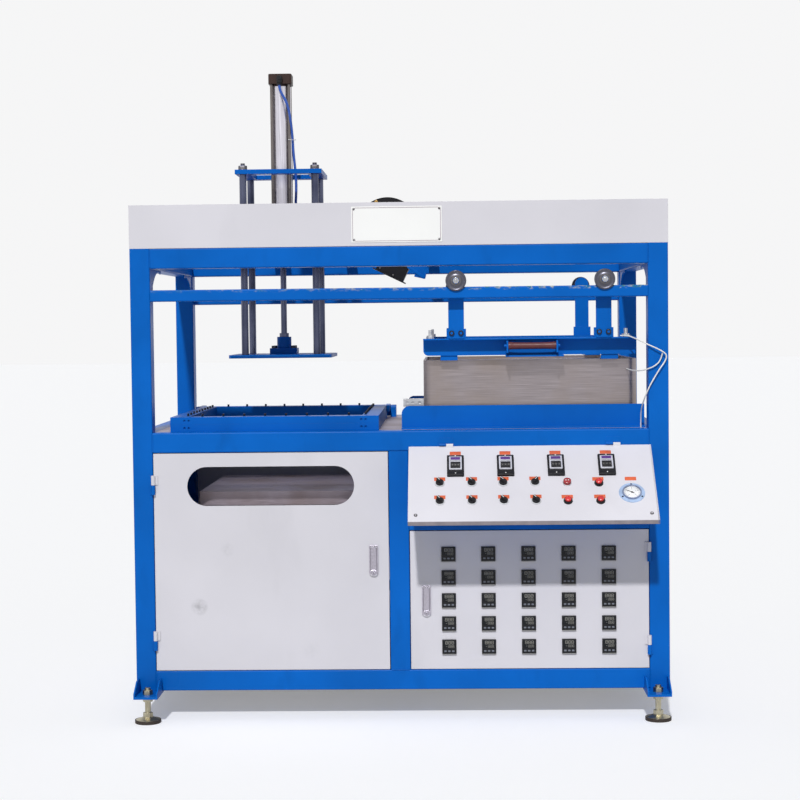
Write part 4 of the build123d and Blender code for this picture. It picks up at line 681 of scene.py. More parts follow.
CARRIED = {
    "frame_enamel": (
        "frame_posts", "frame_rails", "foot_brackets", "heater_aprons", "clamp_lower_frame",
        "clamp_upper_frame",
        "press_bridge", "press_platen", "guide_yoke", "blower_bracket", "carriage_rails", "wheel_hangers",
        "console_box", "hinge_pins", "lift_cylinder",
    ),
    "track_enamel": ("heater_tracks",),
    "sheet_enamel": ("cabinet_panels", "left_door", "right_door", "electrics_board"),
    "fascia_enamel": ("fascia_panel",),
    "lid_enamel": ("console_lid",),
    "white_plate": ("name_plate",),
    "table_steel": ("table_plate", "mould_table"),
    "zinc": ("foot_studs",),
    "rubber_foot": ("foot_pads",),
    "guide_steel": ("press_rods",),
    "oiled_steel": ("clamp_pins", "wheel_front_left", "wheel_front_right", "wheel_rear_left",
                    "wheel_rear_right"),
    "heater_stainless": ("heater_box",),
    "ceramic": ("heater_elements",),
    "aluminium": ("carriage_fittings",),
    "maroon_grip": ("handle_grip",),
    "blower_paint": ("blower_housing", "blower_wheel"),
    "tank_paint": ("vacuum_tank", "vacuum_pump"),
    "cylinder_tube": ("press_cylinder",),
    "hose_blue": ("air_hose",),
    "lead_white": ("heater_leads",),
    "black_plastic": (
        "console_instruments", "gauge_needle", "panel_meters", "selector_upper_1", "selector_upper_2",
        "selector_upper_3", "selector_upper_4", "selector_lower_1", "selector_lower_2", "selector_lower_3",
        "selector_lower_4",
    ),
    "red_plastic": ("push_button_1", "push_button_2", "push_button_3"),
    "chrome_plate": ("left_lock_lever", "right_lock_lever"),
}


class FORGE_OT_finishes(bpy.types.Operator):
    """Makes the finishes and puts them on the frame's own pieces"""

    bl_idname = "forge.finishes"
    bl_label = "Finishes"

    def execute(self, context):
        make_finishes(context.scene.forge_colours)
        for finish, names in CARRIED.items():
            for name in names:
                mesh = NODES[name].data
                mesh.materials.clear()
                mesh.materials.append(FINISHES[finish])
        return {"FINISHED"}


# ---- Cords ----

HOSE_ROUTE = (
    (490, 424, 2254), (491, 424, 2240), (500, 425, 2218), (514, 430, 2196), (524, 441, 2160), (529, 455,
            2115),
    (533, 465, 2065), (535, 468, 2012), (540, 468, 1962), (544, 467, 1915), (544, 468, 1865), (540, 474,
            1815),
    (546, 483, 1780), (552, 487.5, 1757), (552.2, 487.5, 1745),
)
LONG_ROUTE = (
    (1700, 60, 1321.5), (1722, 52, 1324), (1747, 30, 1313), (1766, 6, 1303), (1788, -9, 1291), (1815, -14,
            1279),
    (1838, -15, 1267), (1853, -14, 1254), (1846, -13, 1232), (1828, -14, 1208), (1811, -13, 1180), (1795,
            -11, 1152),
    (1784, -4, 1126), (1777, 14, 1103), (1773, 38, 1082), (1771, 62, 1058), (1771, 75, 1030), (1771.2, 76.2,
            1001.5),
)
SHORT_ROUTE = (
    (1729, 134.7, 1205), (1732, 104, 1203), (1740, 70, 1201), (1752, 36, 1200), (1768, 6, 1201), (1788, -8,
            1207),
    (1812, -9, 1217), (1832, -8.6, 1236), (1838, -9.5, 1262),
)


def flowing(name, route):
    """Smooth open NURBS curve whose control points are the route."""
    curve = bpy.data.curves.new(name, "CURVE")
    curve.dimensions = "3D"
    curve.resolution_u = 10
    spline = curve.splines.new("NURBS")
    spline.points.add(len(route) - 1)
    places = np.array([at(*point) for point in route])
    spline.points.foreach_set("co", np.column_stack([places, np.ones(len(route))]).ravel())
    spline.order_u = 3
    spline.use_endpoint_u = True
    made = bpy.data.objects.new(name, curve)
    bpy.context.scene.collection.objects.link(made)
    return made


def centreline(curve):
    """Points along a curve that has no thickness."""
    mesh = bpy.data.meshes.new_from_object(curve)
    points = np.array([vertex.co for vertex in mesh.vertices], float)
    bpy.data.meshes.remove(mesh)
    return points


class FORGE_OT_cords(bpy.types.Operator):
    """Air line of the press cylinder and the heater's leads"""

    bl_idname = "forge.cords"
    bl_label = "Cords"

    def execute(self, context):
        cords = context.scene.forge_cords
        hose = self.tube("air_line", HOSE_ROUTE, cords.hose, "hose_blue")
        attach(hose, "machine_frame")
        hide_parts("air_hose")
        rows = (("long_lead", LONG_ROUTE, cords.long_length), ("short_lead", SHORT_ROUTE, cords.short_length))
        for name, route, length in rows:
            lead = self.tube(name, route, cords.lead, "lead_white")
            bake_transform(lead)
            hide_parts("heater_leads")
        return {"FINISHED"}

    def tube(self, name, route, diameter, finish):
        """Round tube on the curve's own line."""
        curve = flowing(name + "_line", route)
        self.path = centreline(curve)
        bpy.data.objects.remove(curve)
        body = along(self.path, lambda share: np.full(len(share), diameter / 2), 14)
        return piece(name, [body], finish, None, sharp=60)


# ---- Small parts that come back in several places ----


def on_lid(x_mm, down_mm, rise_mm=0.0):
    """Place on the sloping lid, x from the machine's left side and down the slope from its upper edge."""
    along_slope, across_slope = LID_SLOPE
    out = np.array([0.0, -across_slope, along_slope])
    up = np.array([0.0, along_slope, across_slope])
    top = np.array([LEFT + x_mm * MM, LID_TOP[0], LID_TOP[1]])
    return Place(top - up * down_mm * MM + out * rise_mm * MM, (1, 0, 0), up)


def arched_outline(width, length, steps=14):
    """Strip with a half-round top: a half circle of half the width, and two square corners below."""
    turn = np.radians(np.linspace(0, 180, steps))
    arch = np.column_stack([np.cos(turn) * width / 2, length / 2 - width / 2 + np.sin(turn) * width / 2])
    foot = np.array([[-width / 2, -length / 2], [width / 2, -length / 2]])
    return np.concatenate([arch, foot])


def pointed(outline, slope):
    """Outline whose lower edge rises towards both sides by slope times the distance from the middle."""
    low = outline[:, 1] < 0
    return np.column_stack([outline[:, 0], outline[:, 1] + low * np.abs(outline[:, 0]) * slope])


def bolt_head(place, across, height):
    """Hexagon head with a turned-down top edge: six points at across over root three."""
    outline = circle_outline(across / math.sqrt(3), 6)
    return stacked(outline, [(0, 0), (0, height * 0.82), (across * 0.05, height)], place)


def socket_head(place, radius, height):
    """Round head with a bored socket, as one turned profile from the socket's floor out to the rim."""
    floor = height * 0.45
    profile = [(0, floor), (radius * 0.5, floor), (radius * 0.5, height), (radius * 0.88, height),
               (radius, height - radius * 0.12), (radius, 0)]
    return turned(profile, place, 28)


def domed_head(place, radius, height):
    """Shallow domed screw head: its height falls as the root of one less the share of the radius squared."""
    share = np.linspace(1, 0, 6)
    profile = np.column_stack([share * radius, height * (0.35 + 0.65 * np.sqrt(1 - share**2))])
    return turned([(radius, 0), *profile.tolist()], place, 24)


def bar(place, start, end, width, low, high):
    """Six-sided flat bar between two local points, pointed at both ends as a segment of a digit is."""
    start, end = np.array(start, float), np.array(end, float)
    run = (end - start) / np.linalg.norm(end - start)
    side = np.array([-run[1], run[0]]) * width / 2
    outline = np.stack([start, start + run * width / 2 - side, end - run * width / 2 - side,
                        end, end - run * width / 2 + side, start + run * width / 2 + side])
    return stacked(outline, [(0, low), (0, high)], place)


SEGMENTS = {
    "top": ((-1, 1), (1, 1)), "middle": ((-1, 0), (1, 0)), "bottom": ((-1, -1), (1, -1)),
    "upper left": ((-1, 1), (-1, 0)), "lower left": ((-1, 0), (-1, -1)),
    "upper right": ((1, 1), (1, 0)), "lower right": ((1, 0), (1, -1)),
}


def digits(place, count, width, height, pitch, low, high):
    """Row of unlit figures, each of seven bars between the corners of two stacked squares."""
    sheets = []
    half = np.array([width / 2, height / 2])
    for number in range(count):
        figure = place.shifted((number - (count - 1) / 2) * pitch)
        for start, end in SEGMENTS.values():
            sheets.append(bar(figure, half * start, half * end, width * 0.17, low, high))
    return sheets


# ---- Console ----

TIMER_PLACES = (1122.0, 1293.0, 1465.0, 1638.0)
SELECTOR_PLACES = (1068.0, 1176.0, 1283.0, 1391.0)
SELECTOR_ROWS = {"upper": 177.0, "lower": 261.0}
BUTTON_PLACES = ((1606.0, 182.0), (1498.0, 263.0), (1607.0, 263.0))
LAMP_PLACE = (1499.0, 180.0)
GAUGE_PLACE = (1714.0, 228.0)
LID_SCREWS = ((987.0, 322.0), (1773.0, 321.0))


class FORGE_OT_timers(bpy.types.Operator):
    """Four timers with thumbwheels, set in the lid's upper row"""

    bl_idname = "forge.timers"
    bl_label = "Timers"

    def execute(self, context):
        groups = {name: [] for name in ("case", "face", "strip", "well", "wheels", "figures", "latch")}
        for x in TIMER_PLACES:
            self.timer(on_lid(x, 99), groups)
        finishes = {
            "case": "instrument_black", "face": "timer_face", "strip": "strip_purple",
            "well": "black_plastic",
            "wheels": "instrument_black", "figures": "meter_digit", "latch": "knob_white",
        }
        for name, finish in finishes.items():
            made = piece("timer_" + name, groups[name], finish, "lid")
            if name == "case":
                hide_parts("console_instruments")
        return {"FINISHED"}

    def timer(self, place, groups):
        """One timer: case, raised face, display strip, well with three wheels, and two latches."""
        mm = MM
        groups["case"].append(slab(58 * mm, 95 * mm, 9 * mm, place, 3 * mm, 1.2 * mm))
        groups["case"].append(slab(46 * mm, 11 * mm, 11 * mm, place.shifted(0, -39.5 * mm), 1.5 * mm, 1 * mm))
        groups["face"].append(slab(44 * mm, 60 * mm, 11.4 * mm, place.shifted(0, 9 * mm), 2 * mm, 0.8 * mm))
        groups["face"].append(slab(42 * mm, 1.6 * mm, 12.2 * mm, place.shifted(0, -22 * mm), 0.7 * mm,
                                   0.3 * mm))
        groups["strip"].append(slab(33 * mm, 12.5 * mm, 11.9 * mm, place.shifted(0, 29 * mm), 1 * mm,
                                    0.3 * mm))
        arch = np.radians(np.linspace(200, 340, 17))
        for side in (-1, 1):
            centre = place.shifted(side * 9 * mm, 21 * mm, 11.5 * mm)
            ribbon = np.stack([np.cos(arch) * 9 * mm, np.sin(arch) * 4 * mm, np.zeros(17)], -1)
            groups["well"].append(along(centre.put(ribbon), lambda share: np.full(len(share), 0.6 * mm), 6))
        groups["well"].append(slab(34 * mm, 30 * mm, 11.8 * mm, place.shifted(0, -2 * mm), 1.2 * mm,
                                   0.3 * mm))
        for number in range(3):
            wheel = place.shifted((number - 1) * 10.6 * mm, -2 * mm, 11.8 * mm)
            groups["wheels"].append(self.thumbwheel(wheel))
            front = wheel.shifted(0, -1.5 * mm, 2.4 * mm)
            groups["figures"] += digits(front, 1, 2.2 * mm, 4.0 * mm, 0, 0, 0.3 * mm)
        for y in (43.5, -39.5):
            latch = place.shifted(0, y * mm, (9.6 if y > 0 else 10.6) * mm)
            button = in_mm((0, 2.0), (1.7, 1.8), (2.3, 1.0), (2.3, -0.5))
            groups["latch"].append(turned(button, latch, 18))

    def thumbwheel(self, place):
        """Ribbed wheel edge: a bow of height cos(t), with a ripple of 14 teeth, closed underneath."""
        across = np.array([-4.4, -4.2, 4.2, 4.4]) * MM
        sweep = np.linspace(-1, 1, 57)
        rise = (np.cos(sweep * 1.35) - math.cos(1.35)) * 3.2 * MM + np.cos(sweep * 14 * math.pi) * 0.22 * MM
        rise[[0, -1]] = -0.5 * MM
        lift = np.array([-0.6, 0.0, 0.0, -0.6]) * MM
        lengthwise = (sweep * 13 * MM)[:, None]
        grid = np.stack(np.broadcast_arrays(across[None, :], lengthwise, rise[:, None] + lift[None, :]), -1)
        flat = grid[:, ::-1].copy()
        flat[..., 2] = -0.7 * MM
        return place.put(np.concatenate([grid, flat], 1)), False, True


SELECTOR_RING = in_mm((4.4, 0), (17, 0), (17, 1.8), (15.8, 3.4), (13.6, 4.0), (4.4, 4.0), (4.4, 0))


class FORGE_OT_selectors(bpy.types.Operator):
    """Eight turning switches: pale ring on the lid, black knob with a white pointer"""

    bl_idname = "forge.selectors"
    bl_label = "Selector switches"

    def execute(self, context):
        rings = []
        for row, down in SELECTOR_ROWS.items():
            for number, x in enumerate(SELECTOR_PLACES, 1):
                place = on_lid(x, down)
                rings.append(turned(SELECTOR_RING, place, 48))
                turn = -38 if (row == "upper" and number == 4) else 38
                self.knob(f"selector_{row}_{number}", place.shifted(0, 0, 4.3 * MM), turn)
        piece("selector_rings", rings, "bezel_silver", "lid")
        return {"FINISHED"}

    def knob(self, body, place, turn):
        """Skirted knob with a raised lever across it and a pointer at the lever's upper end."""
        mm = MM
        skirt = in_mm((0, 6), (10.6, 6), (13, 5.4), (13.8, 4.2), (13.8, 0), (4, 0), (4, -9), (0, -9))
        lever = place.turned(turn)
        outline = round_outline(10.4 * mm, 30 * mm, 5.1 * mm, 7)
        profile = in_mm((0, 5), (0.3, 8), (0.9, 14.6), (1.6, 15.8), (2.6, 16))
        knob = [turned(skirt, place, 48), stacked(outline, profile, lever)]
        made = piece(body + "_knob", knob, "instrument_black", body)
        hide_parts(body)
        line = box_of((-1.3 * mm, 0, 15.6 * mm), (1.3 * mm, 14.4 * mm, 16.3 * mm), lever)
        edge = box_of((-1.3 * mm, 13.4 * mm, 7 * mm), (1.3 * mm, 15.3 * mm, 16.1 * mm), lever)
        piece(body + "_pointer", [line, edge], "knob_white", body)


BUTTON_RING = in_mm(
    (11.6, 0), (15.4, 0), (15.4, 3), (14.4, 5.4), (13.6, 9.6), (12.9, 10.4), (11.6, 10.2), (11.6, 0)
)


class FORGE_OT_buttons(bpy.types.Operator):
    """Three red push buttons in black rings and the red signal lamp"""

    bl_idname = "forge.buttons"
    bl_label = "Buttons and lamp"

    def execute(self, context):
        mm = MM
        rings = []
        for number, (x, down) in enumerate(BUTTON_PLACES, 1):
            place = on_lid(x, down)
            body = f"push_button_{number}"
            rings.append(turned(BUTTON_RING, place, 48))
            turn = np.linspace(0, 1, 9) * math.pi / 2
            dome = np.column_stack([10.9 * mm * np.sin(turn), (13.4 + 3.6 * np.cos(turn)) * mm])
            cap = turned([*dome.tolist(), *in_mm((10.9, 4.0), (0, 4.0))], place, 48)
            made = piece(f"button_cap_{number}", [cap], "red_plastic", body, 50)
            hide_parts(body)
        piece("button_rings", rings, "instrument_black", "lid")
        place = on_lid(*LAMP_PLACE)
        ring = in_mm((0, 0), (15.4, 0), (15.4, 2.5), (14.2, 4.4), (0, 4.4))
        piece("lamp_ring", [turned(ring, place, 48)], "chrome_plate", "lid")
        ribs = np.linspace(0, 1, 25)
        wall = np.column_stack([(12.6 + 0.35 * np.cos(ribs * 12 * math.pi)) * mm, (4 + 9.4 * ribs) * mm])
        cap = in_mm((12.0, 14.4), (9.4, 14.8), (8.6, 13.2), (0, 13.0))
        piece("lamp_lens", [turned([*wall.tolist(), *cap], place, 48)], "lamp_red", "lid", 40)
        # Two small white dots on the red lens: painted highlights.
        glint_dot = in_mm((0, 15.4), (1.6, 15), (2.3, 13.6), (2.3, 12))
        glint_dots = [turned(glint_dot, place.shifted(side * 4.4 * mm, 2 * mm), 18) for side in (-1, 1)]
        piece("lamp_glints", glint_dots, "knob_white", "lid")
        return {"FINISHED"}


class FORGE_OT_gauge(bpy.types.Operator):
    """Vacuum gauge: flange with three screws, ring, marked dial and needle"""

    bl_idname = "forge.gauge"
    bl_label = "Vacuum gauge"

    def execute(self, context):
        mm = MM
        place = on_lid(*GAUGE_PLACE)
        flange = in_mm((0, 0), (44, 0), (44, 1.6), (43, 2.8), (40, 3.2), (0, 3.2))
        ring = in_mm((27.6, 3), (32.4, 3), (32.4, 7.4), (31.4, 8.8), (29.6, 9.2), (28.4, 8.6), (27.6, 6.4),
                     (27.6, 3))
        dial = in_mm((0, 3.9), (27.8, 3.9), (27.8, 3))
        piece("gauge_flange", [turned(flange, place, 96)], "gauge_case", "lid", 30)
        piece("gauge_rim", [turned(ring, place, 96)], "gauge_ring", "lid", 30)
        piece("gauge_dial", [turned(dial, place, 96)], "gauge_dial", "lid")
        marks = []
        for number in range(41):
            tick = place.turned(135 - 270 * number / 40 + 90)
            inner = (18.5 if number % 10 == 0 else 20.6 if number % 5 == 0 else 22.4) * mm
            half = (0.45 if number % 10 == 0 else 0.24) * mm
            marks.append(box_of((inner, -half, 3.8 * mm), (25.2 * mm, half, 4.1 * mm), tick, 0.05 * mm))
        for number in range(5):
            turn = math.radians(135 - 67.5 * number + 90)
            spot = place.shifted(math.cos(turn) * 14.8 * mm, math.sin(turn) * 14.8 * mm)
            marks += digits(spot, 1, 2.2 * mm, 4.0 * mm, 0, 3.8 * mm, 4.1 * mm)
        arc = np.radians(np.linspace(-45, 225, 73))
        band = np.column_stack([np.cos(arc) * 26.0 * mm, np.sin(arc) * 26.0 * mm, np.full(73, 3.9 * mm)])
        marks.append(along(place.put(band), lambda share: np.full(len(share), 0.22 * mm), 6))
        piece("gauge_marks", marks, "ink_navy", "lid")
        screws = []
        for turn in (90, 210, 330):
            angle = math.radians(turn)
            spot = place.shifted(math.cos(angle) * 37.8 * mm, math.sin(angle) * 37.8 * mm, 3 * mm)
            screws.append(domed_head(spot, 3.3 * mm, 1.8 * mm))
        piece("gauge_screws", screws, "oiled_steel", "lid")
        hand = place.turned(150).shifted(0, 0, 4.5 * mm)
        outline = np.array([
            [24, 0], [22, 0.35], [3.4, 1.1], [0, 3.9], [-3.4, 1.3], [-8, 1.5],
            [-8, -1.5], [-3.4, -1.3], [0, -3.9], [3.4, -1.1], [22, -0.35],
        ]) * mm
        pointer = stacked(outline, in_mm((0, 0), (0, 0.7), (0.1, 1)), hand)
        made = piece("gauge_hand", [pointer], "ink_black", "needle")
        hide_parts("gauge_needle")
        return {"FINISHED"}


class FORGE_OT_labels(bpy.types.Operator):
    """Bare orange marking strips above each control, and the lid's two screws"""

    bl_idname = "forge.labels"
    bl_label = "Marking strips"

    def execute(self, context):
        mm = MM
        spots = [(x, 35) for x in TIMER_PLACES]
        spots += [(x, down - 20) for x in SELECTOR_PLACES for down in SELECTOR_ROWS.values()]
        spots += [(x - 2, down - 20) for x, down in BUTTON_PLACES]
        spots.append((GAUGE_PLACE[0], 162))
        strips = [slab(38 * mm, 16 * mm, 1.0 * mm, on_lid(x, down), 0.8 * mm, 0.2 * mm) for x, down in spots]
        piece("marking_strips", strips, "orange_label", "lid")
        rims, pits = [], []
        for x, down in LID_SCREWS:
            place = on_lid(x, down)
            rim = in_mm((2.6, 2.6), (4.6, 2.9), (5.8, 2.2), (6.2, 0))
            pit = in_mm((0, 1.6), (2.7, 1.7), (2.8, 2.5))
            rims.append(turned(rim, place, 32))
            pits.append(turned(pit, place, 24))
        piece("lid_screw_rims", rims, "dull_steel", "lid")
        piece("lid_screw_sockets", pits, "oiled_steel", "lid")
        return {"FINISHED"}


# ---- Door of the electrics bay ----

METER_COLUMNS = (1095.0, 1233.0, 1372.0, 1511.0, 1650.0)
METER_ROWS = (572.0, 490.0, 410.0, 329.0, 248.0)
FIGURE_RISE = (5.2 * MM, 5.5 * MM)


class FORGE_OT_meters(bpy.types.Operator):
    """Twenty-five small temperature controllers, each with two rows of figures and three keys"""

    bl_idname = "forge.meters"
    bl_label = "Controllers"

    def execute(self, context):
        mm = MM
        cases, edges, glass, figures, keys = [], [], [], [], []
        for x in METER_COLUMNS:
            for z in METER_ROWS:
                place = facing_front(x, 0, z)
                body, highlight_edge = place.shifted(0, -1.8 * mm), place.shifted(0, -26.6 * mm)
                upper, lower = place.shifted(1 * mm, 13.6 * mm), place.shifted(6.5 * mm, 0.6 * mm)
                cases.append(slab(49.4 * mm, 53 * mm, 5 * mm, body, 1.6 * mm, 0.7 * mm))
                # A light grey strip along each case's foot: painted highlight of its lower side.
                edges.append(slab(48.6 * mm, 2.6 * mm, 5.6 * mm, highlight_edge, 0.8 * mm, 0.3 * mm))
                glass.append(slab(41 * mm, 25 * mm, 5.3 * mm, place.shifted(0, 8 * mm), 1 * mm, 0.2 * mm))
                figures += digits(upper, 3, 7.6 * mm, 10 * mm, 10.6 * mm, *FIGURE_RISE)
                figures += digits(lower, 3, 5 * mm, 8 * mm, 7.2 * mm, *FIGURE_RISE)
                figures.append(bar(place, (-11 * mm, 0.6 * mm), (-7 * mm, 0.6 * mm), 1 * mm, *FIGURE_RISE))
                for column in (-1, 0, 1):
                    spot = place.shifted(column * 13.5 * mm, -15.6 * mm)
                    keys.append(slab(8.4 * mm, 5.6 * mm, 5.9 * mm, spot, 1.4 * mm, 0.5 * mm))
        made = piece("meter_cases", cases, "instrument_black", "right_door")
        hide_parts("panel_meters")
        piece("meter_lit_edges", edges, "meter_lit_edge", "right_door")
        piece("meter_windows", glass, "meter_glass", "right_door")
        piece("meter_figures", figures, "meter_digit", "right_door")
        piece("meter_keys", keys, "meter_key", "right_door")
        return {"FINISHED"}


LOCK_PLACES = {"left": (820.0, 496.0), "right": (1002.0, 354.0)}
LOCK_BARREL = in_mm((0, 9), (4.6, 9), (5.2, 8.4), (5.2, 8), (7.2, 8.2), (7.8, 7.6), (7.8, 6))
LEVER_PROFILE = in_mm((0, 1.5), (0, 6.2), (0.5, 7.2), (1.4, 7.5), (2.6, 7.5), (3.4, 6.9))


class FORGE_OT_locks(bpy.types.Operator):
    """Flush door locks: pointed plate with a recess, and the arched lever that swings out of it"""

    bl_idname = "forge.locks"
    bl_label = "Door locks"

    def execute(self, context):
        mm = MM
        for side, (x, z) in LOCK_PLACES.items():
            place = facing_front(x + 15, 0, z + 53.5)
            outer = pointed(round_outline(31 * mm, 108 * mm, 2 * mm, 8), 0.55)
            inner = round_outline(22 * mm, 85 * mm, 1 * mm, 8) + np.array([0, 7.5 * mm])
            plate = frame_ring(outer, inner, 0, 6.5 * mm, place, 0.5 * mm)
            slot = facing_front(x + 15, 0, z + 11)
            barrel = turned(LOCK_BARREL, slot, 36)
            piece(side + "_lock_plate", [plate, barrel], "lever_chrome", side + "_door")
            keyway = box_of((-0.8 * mm, -3 * mm, 8.6 * mm), (0.8 * mm, 3 * mm, 9.2 * mm), slot, 0.1 * mm)
            piece(side + "_lock_keyway", [keyway], "oiled_steel", side + "_door")
            lever = facing_front(x + 15, 0, z + 61)
            outline = arched_outline(21 * mm, 84 * mm)
            face = stacked(outline, LEVER_PROFILE, lever)
            grip = piece(side + "_lever_plate", [face], "lever_chrome", side + "_lever")
            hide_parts(side + "_lock_lever")
        return {"FINISHED"}


# ---- Fascia plate ----


class FORGE_OT_plate(bpy.types.Operator):
    """Bare plate on the fascia: thin border with hollow corners and four screws"""

    bl_idname = "forge.plate"
    bl_label = "Fascia plate"

    def execute(self, context):
        low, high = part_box("name_plate")
        centre = np.array([(low.x + high.x) / 2, low.y, (low.z + high.z) / 2])
        half = np.array([high.x - low.x, high.z - low.z]) / 2
        place = Place(centre + np.array([0, 0.0012, 0]), (1, 0, 0), (0, 0, 1))
        line = half - 5 * MM
        hollow = 8 * MM
        turn = np.radians(np.linspace(0, 90, 9))
        corners = []
        for start, x, y in ((180, 1, 1), (270, -1, 1), (0, -1, -1), (90, 1, -1)):
            angle = math.radians(start) + turn[::-1]
            corner = np.array([x, y]) * line
            corners.append(np.stack([np.cos(angle), np.sin(angle)], -1) * hollow + corner)
        path = np.concatenate([*corners, corners[0][:1]])
        path = np.column_stack([path, np.zeros(len(path))])
        border = along(place.put(path), lambda share: np.full(len(share), 0.75 * MM), 8)
        piece("plate_border", [border], "plate_ink", "machine_frame")
        inset = half - 9 * MM
        heads = [domed_head(place.shifted(x * inset[0], y * inset[1], -0.4 * MM), 4.4 * MM, 2.0 * MM)
                 for x in (-1, 1) for y in (-1, 1)]
        piece("plate_screws", heads, "dull_steel", "machine_frame")
        return {"FINISHED"}


# ---- Press cylinder ----

PRESS = (490.0, 487.5)
CAP_LOW, TUBE_LOW, TUBE_HIGH = 1717.0, 1755.0, 2260.0
TIE_ROD = 31.4
GUIDE_ROD = (131.5, 130.0)
YOKE_TOP = 1938.0
HUB_BOLT = 36.0
HUB_TOP = 1286.0


class FORGE_OT_cylinder(bpy.types.Operator):
    """Press cylinder: ground tube between two cast caps, four tie rods whose dark steel beside the tube also
    gives a painted reflection of its dark sides, and the air line's elbows and tie
    """

    bl_idname = "forge.cylinder"
    bl_label = "Press cylinder"

    def execute(self, context):
        mm = MM
        tube = level(*PRESS, TUBE_LOW)
        reach = (TUBE_HIGH - TUBE_LOW) * mm
        wall = [(33 * mm, 0), (37 * mm, 0), (37 * mm, reach), (33 * mm, reach), (33 * mm, 0)]
        walls = [turned(wall, tube, 96)]
        made = piece("cylinder_tube", walls, "cylinder_tube", "machine_frame", 40)
        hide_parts("press_cylinder")
        caps = []
        for low in (CAP_LOW, TUBE_HIGH):
            place = level(*PRESS, low)
            outline = round_outline(86 * mm, 86 * mm, 10 * mm, 7)
            profile = in_mm((1.4, 0), (0, 1.4), (0, 36.6), (1.4, 38))
            caps.append(stacked(outline, profile, place))
            collar_low = 38 if low == CAP_LOW else -7
            caps.append(turned([(37.2 * mm, collar_low * mm), (39.4 * mm, (collar_low + 1) * mm),
                                (39.4 * mm, (collar_low + 6) * mm), (37.2 * mm,
                                        (collar_low + 7) * mm)], place, 64))
        piece("cylinder_caps", caps, "cap_paint", "machine_frame")
        # Tie rods close against the tube's sides: partly the rods and partly painted reflection of the tube's
        # dark edges.
        rods = []
        for x in (-1, 1):
            for y in (-1, 1):
                place = level(PRESS[0] + x * TIE_ROD, PRESS[1] + y * TIE_ROD, TUBE_LOW)
                rods.append(turned([(0, 0), (5.8 * mm, 0), (5.8 * mm, reach), (0, reach)], place, 24))
        piece("cylinder_tie_rods_dark_reflection", rods, "tie_rod_steel_dark_reflection", "machine_frame", 40)
        self.elbows()
        return {"FINISHED"}

    def elbows(self):
        """Push-in elbows: turned body, release collar and a nose that enters the cap; and the hose's tie."""
        mm = MM
        top = level(490, 424, 2254)
        body = in_mm((5.4, 0), (8, 0), (8.6, 2), (8.6, 5), (7.4, 6), (9.4, 7), (9.4, 30), (8.4, 33), (0, 34))
        nose = in_mm((9.4, 0), (9.4, 4), (8.2, 5), (8.2, 9), (11, 9.6), (11, 21.4), (0, 21.4))
        rear = Place(at(490, 424, 2279), (-1, 0, 0), (0, 0, 1))
        ribs = [turned(in_mm((0, 11), (7.4, 11), (8.4, 10), (8.4, 2), (0, 2)),
                       Place(at(490, 424, 2279), (1, 0, 0), (0, 0, 1)), 12)]
        low = Place(at(552.2, 487.5, 1745), (1, 0, 0), (0, -1, 0))
        low_nose = Place(at(552.2, 487.5, 1733), (0, 1, 0), (0, 0, -1))
        short = [(radius, min(height, 22 * mm)) for radius, height in body]
        piece("air_elbows", [turned(body, top, 28), turned(nose, rear, 28), *ribs, turned(short, low, 28),
                             turned(nose, low_nose, 28)], "black_plastic", "machine_frame")
        turn = np.linspace(0, 2 * math.pi, 49)
        middle, half = (PRESS[0] + 39.4, PRESS[1] - 27.6, 2056.0), 8.0
        across = np.cos(turn) * 0.62 - np.sin(turn) * 0.42
        back = np.cos(turn) * 0.78 + np.sin(turn) * 0.34
        loop = np.column_stack([across, back, np.sin(turn) * 0.12])
        sizes = np.array([half * 1.75, half * 1.75, half])
        path = np.array([at(*(np.array(middle) + point * sizes)) for point in loop])
        tail = path[:1] + np.array([[0.007, -0.004, 0.001]]) * np.linspace(0.2, 1, 4)[:, None]
        strap = along(path, lambda share: np.full(len(share), 1.25 * mm), 8)
        end = along(tail, lambda share: np.full(len(share), 1.5 * mm), 8)
        piece("hose_tie", [strap, end], "tie_white", "machine_frame", 60)


# ---- Heater carriage ----

WHEEL_PLACES = {"left": 1130.0, "right": 1642.0}
WHEEL_HEIGHT = 1518.0
DEEP = 1120.0
HANGER_BOLT = {"inset": 46.0, "height": 1337.0}
WHEEL_FLANGE = in_mm(
    (6.4, -42), (20, -42), (21, -41), (21, 0.3), (34, 0.3), (36, 2.2), (36, 6.6), (34.6, 8.2),
    (31, 8.3), (30, 7.5), (22, 7.5), (21, 8.3), (6.4, 8.3), (6.4, -42),
)
WHEEL_HUB = in_mm((6.4, 8.2), (19.6, 8.2), (19.6, 10.2), (17.6, 12), (12, 12.3), (6.4, 11.6), (6.4, 8.2))
AXLE_END = in_mm((0, 25), (4.4, 25), (5.4, 24), (5.4, 14))
AXLE_WASHER = in_mm((0, 14.3), (10.6, 14.3), (10.6, 12.5), (0, 12.5))


class FORGE_OT_wheels(bpy.types.Operator):
    """Four flanged wheels on the carriage's axles, with their nuts and washers"""

    bl_idname = "forge.wheels"
    bl_label = "Carriage wheels"

    def execute(self, context):
        mm = MM
        nuts, washers = [], []
        for row, y, way in (("front", 0.0, 1), ("rear", DEEP, -1)):
            for side, x in WHEEL_PLACES.items():
                place = Place(at(x, y, WHEEL_HEIGHT), (way, 0, 0), (0, 0, 1))
                name = f"wheel_{row}_{side}"
                flange = [turned(WHEEL_FLANGE, place, 72)]
                made = piece(name + "_flange", flange, "wheel_steel", name, 40)
                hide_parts(name)
                piece(name + "_hub", [turned(WHEEL_HUB, place, 60)], "dull_steel", name, 30)
                nuts.append(bolt_head(place.shifted(0, 0, 14.2 * mm), 20.8 * mm, 8.4 * mm))
                nuts.append(turned(AXLE_END, place, 20))
                washers.append(turned(AXLE_WASHER, place, 36))
        piece("axle_nuts", nuts, "bright_steel", "heater_carriage")
        piece("axle_washers", washers, "bright_steel", "heater_carriage")
        return {"FINISHED"}


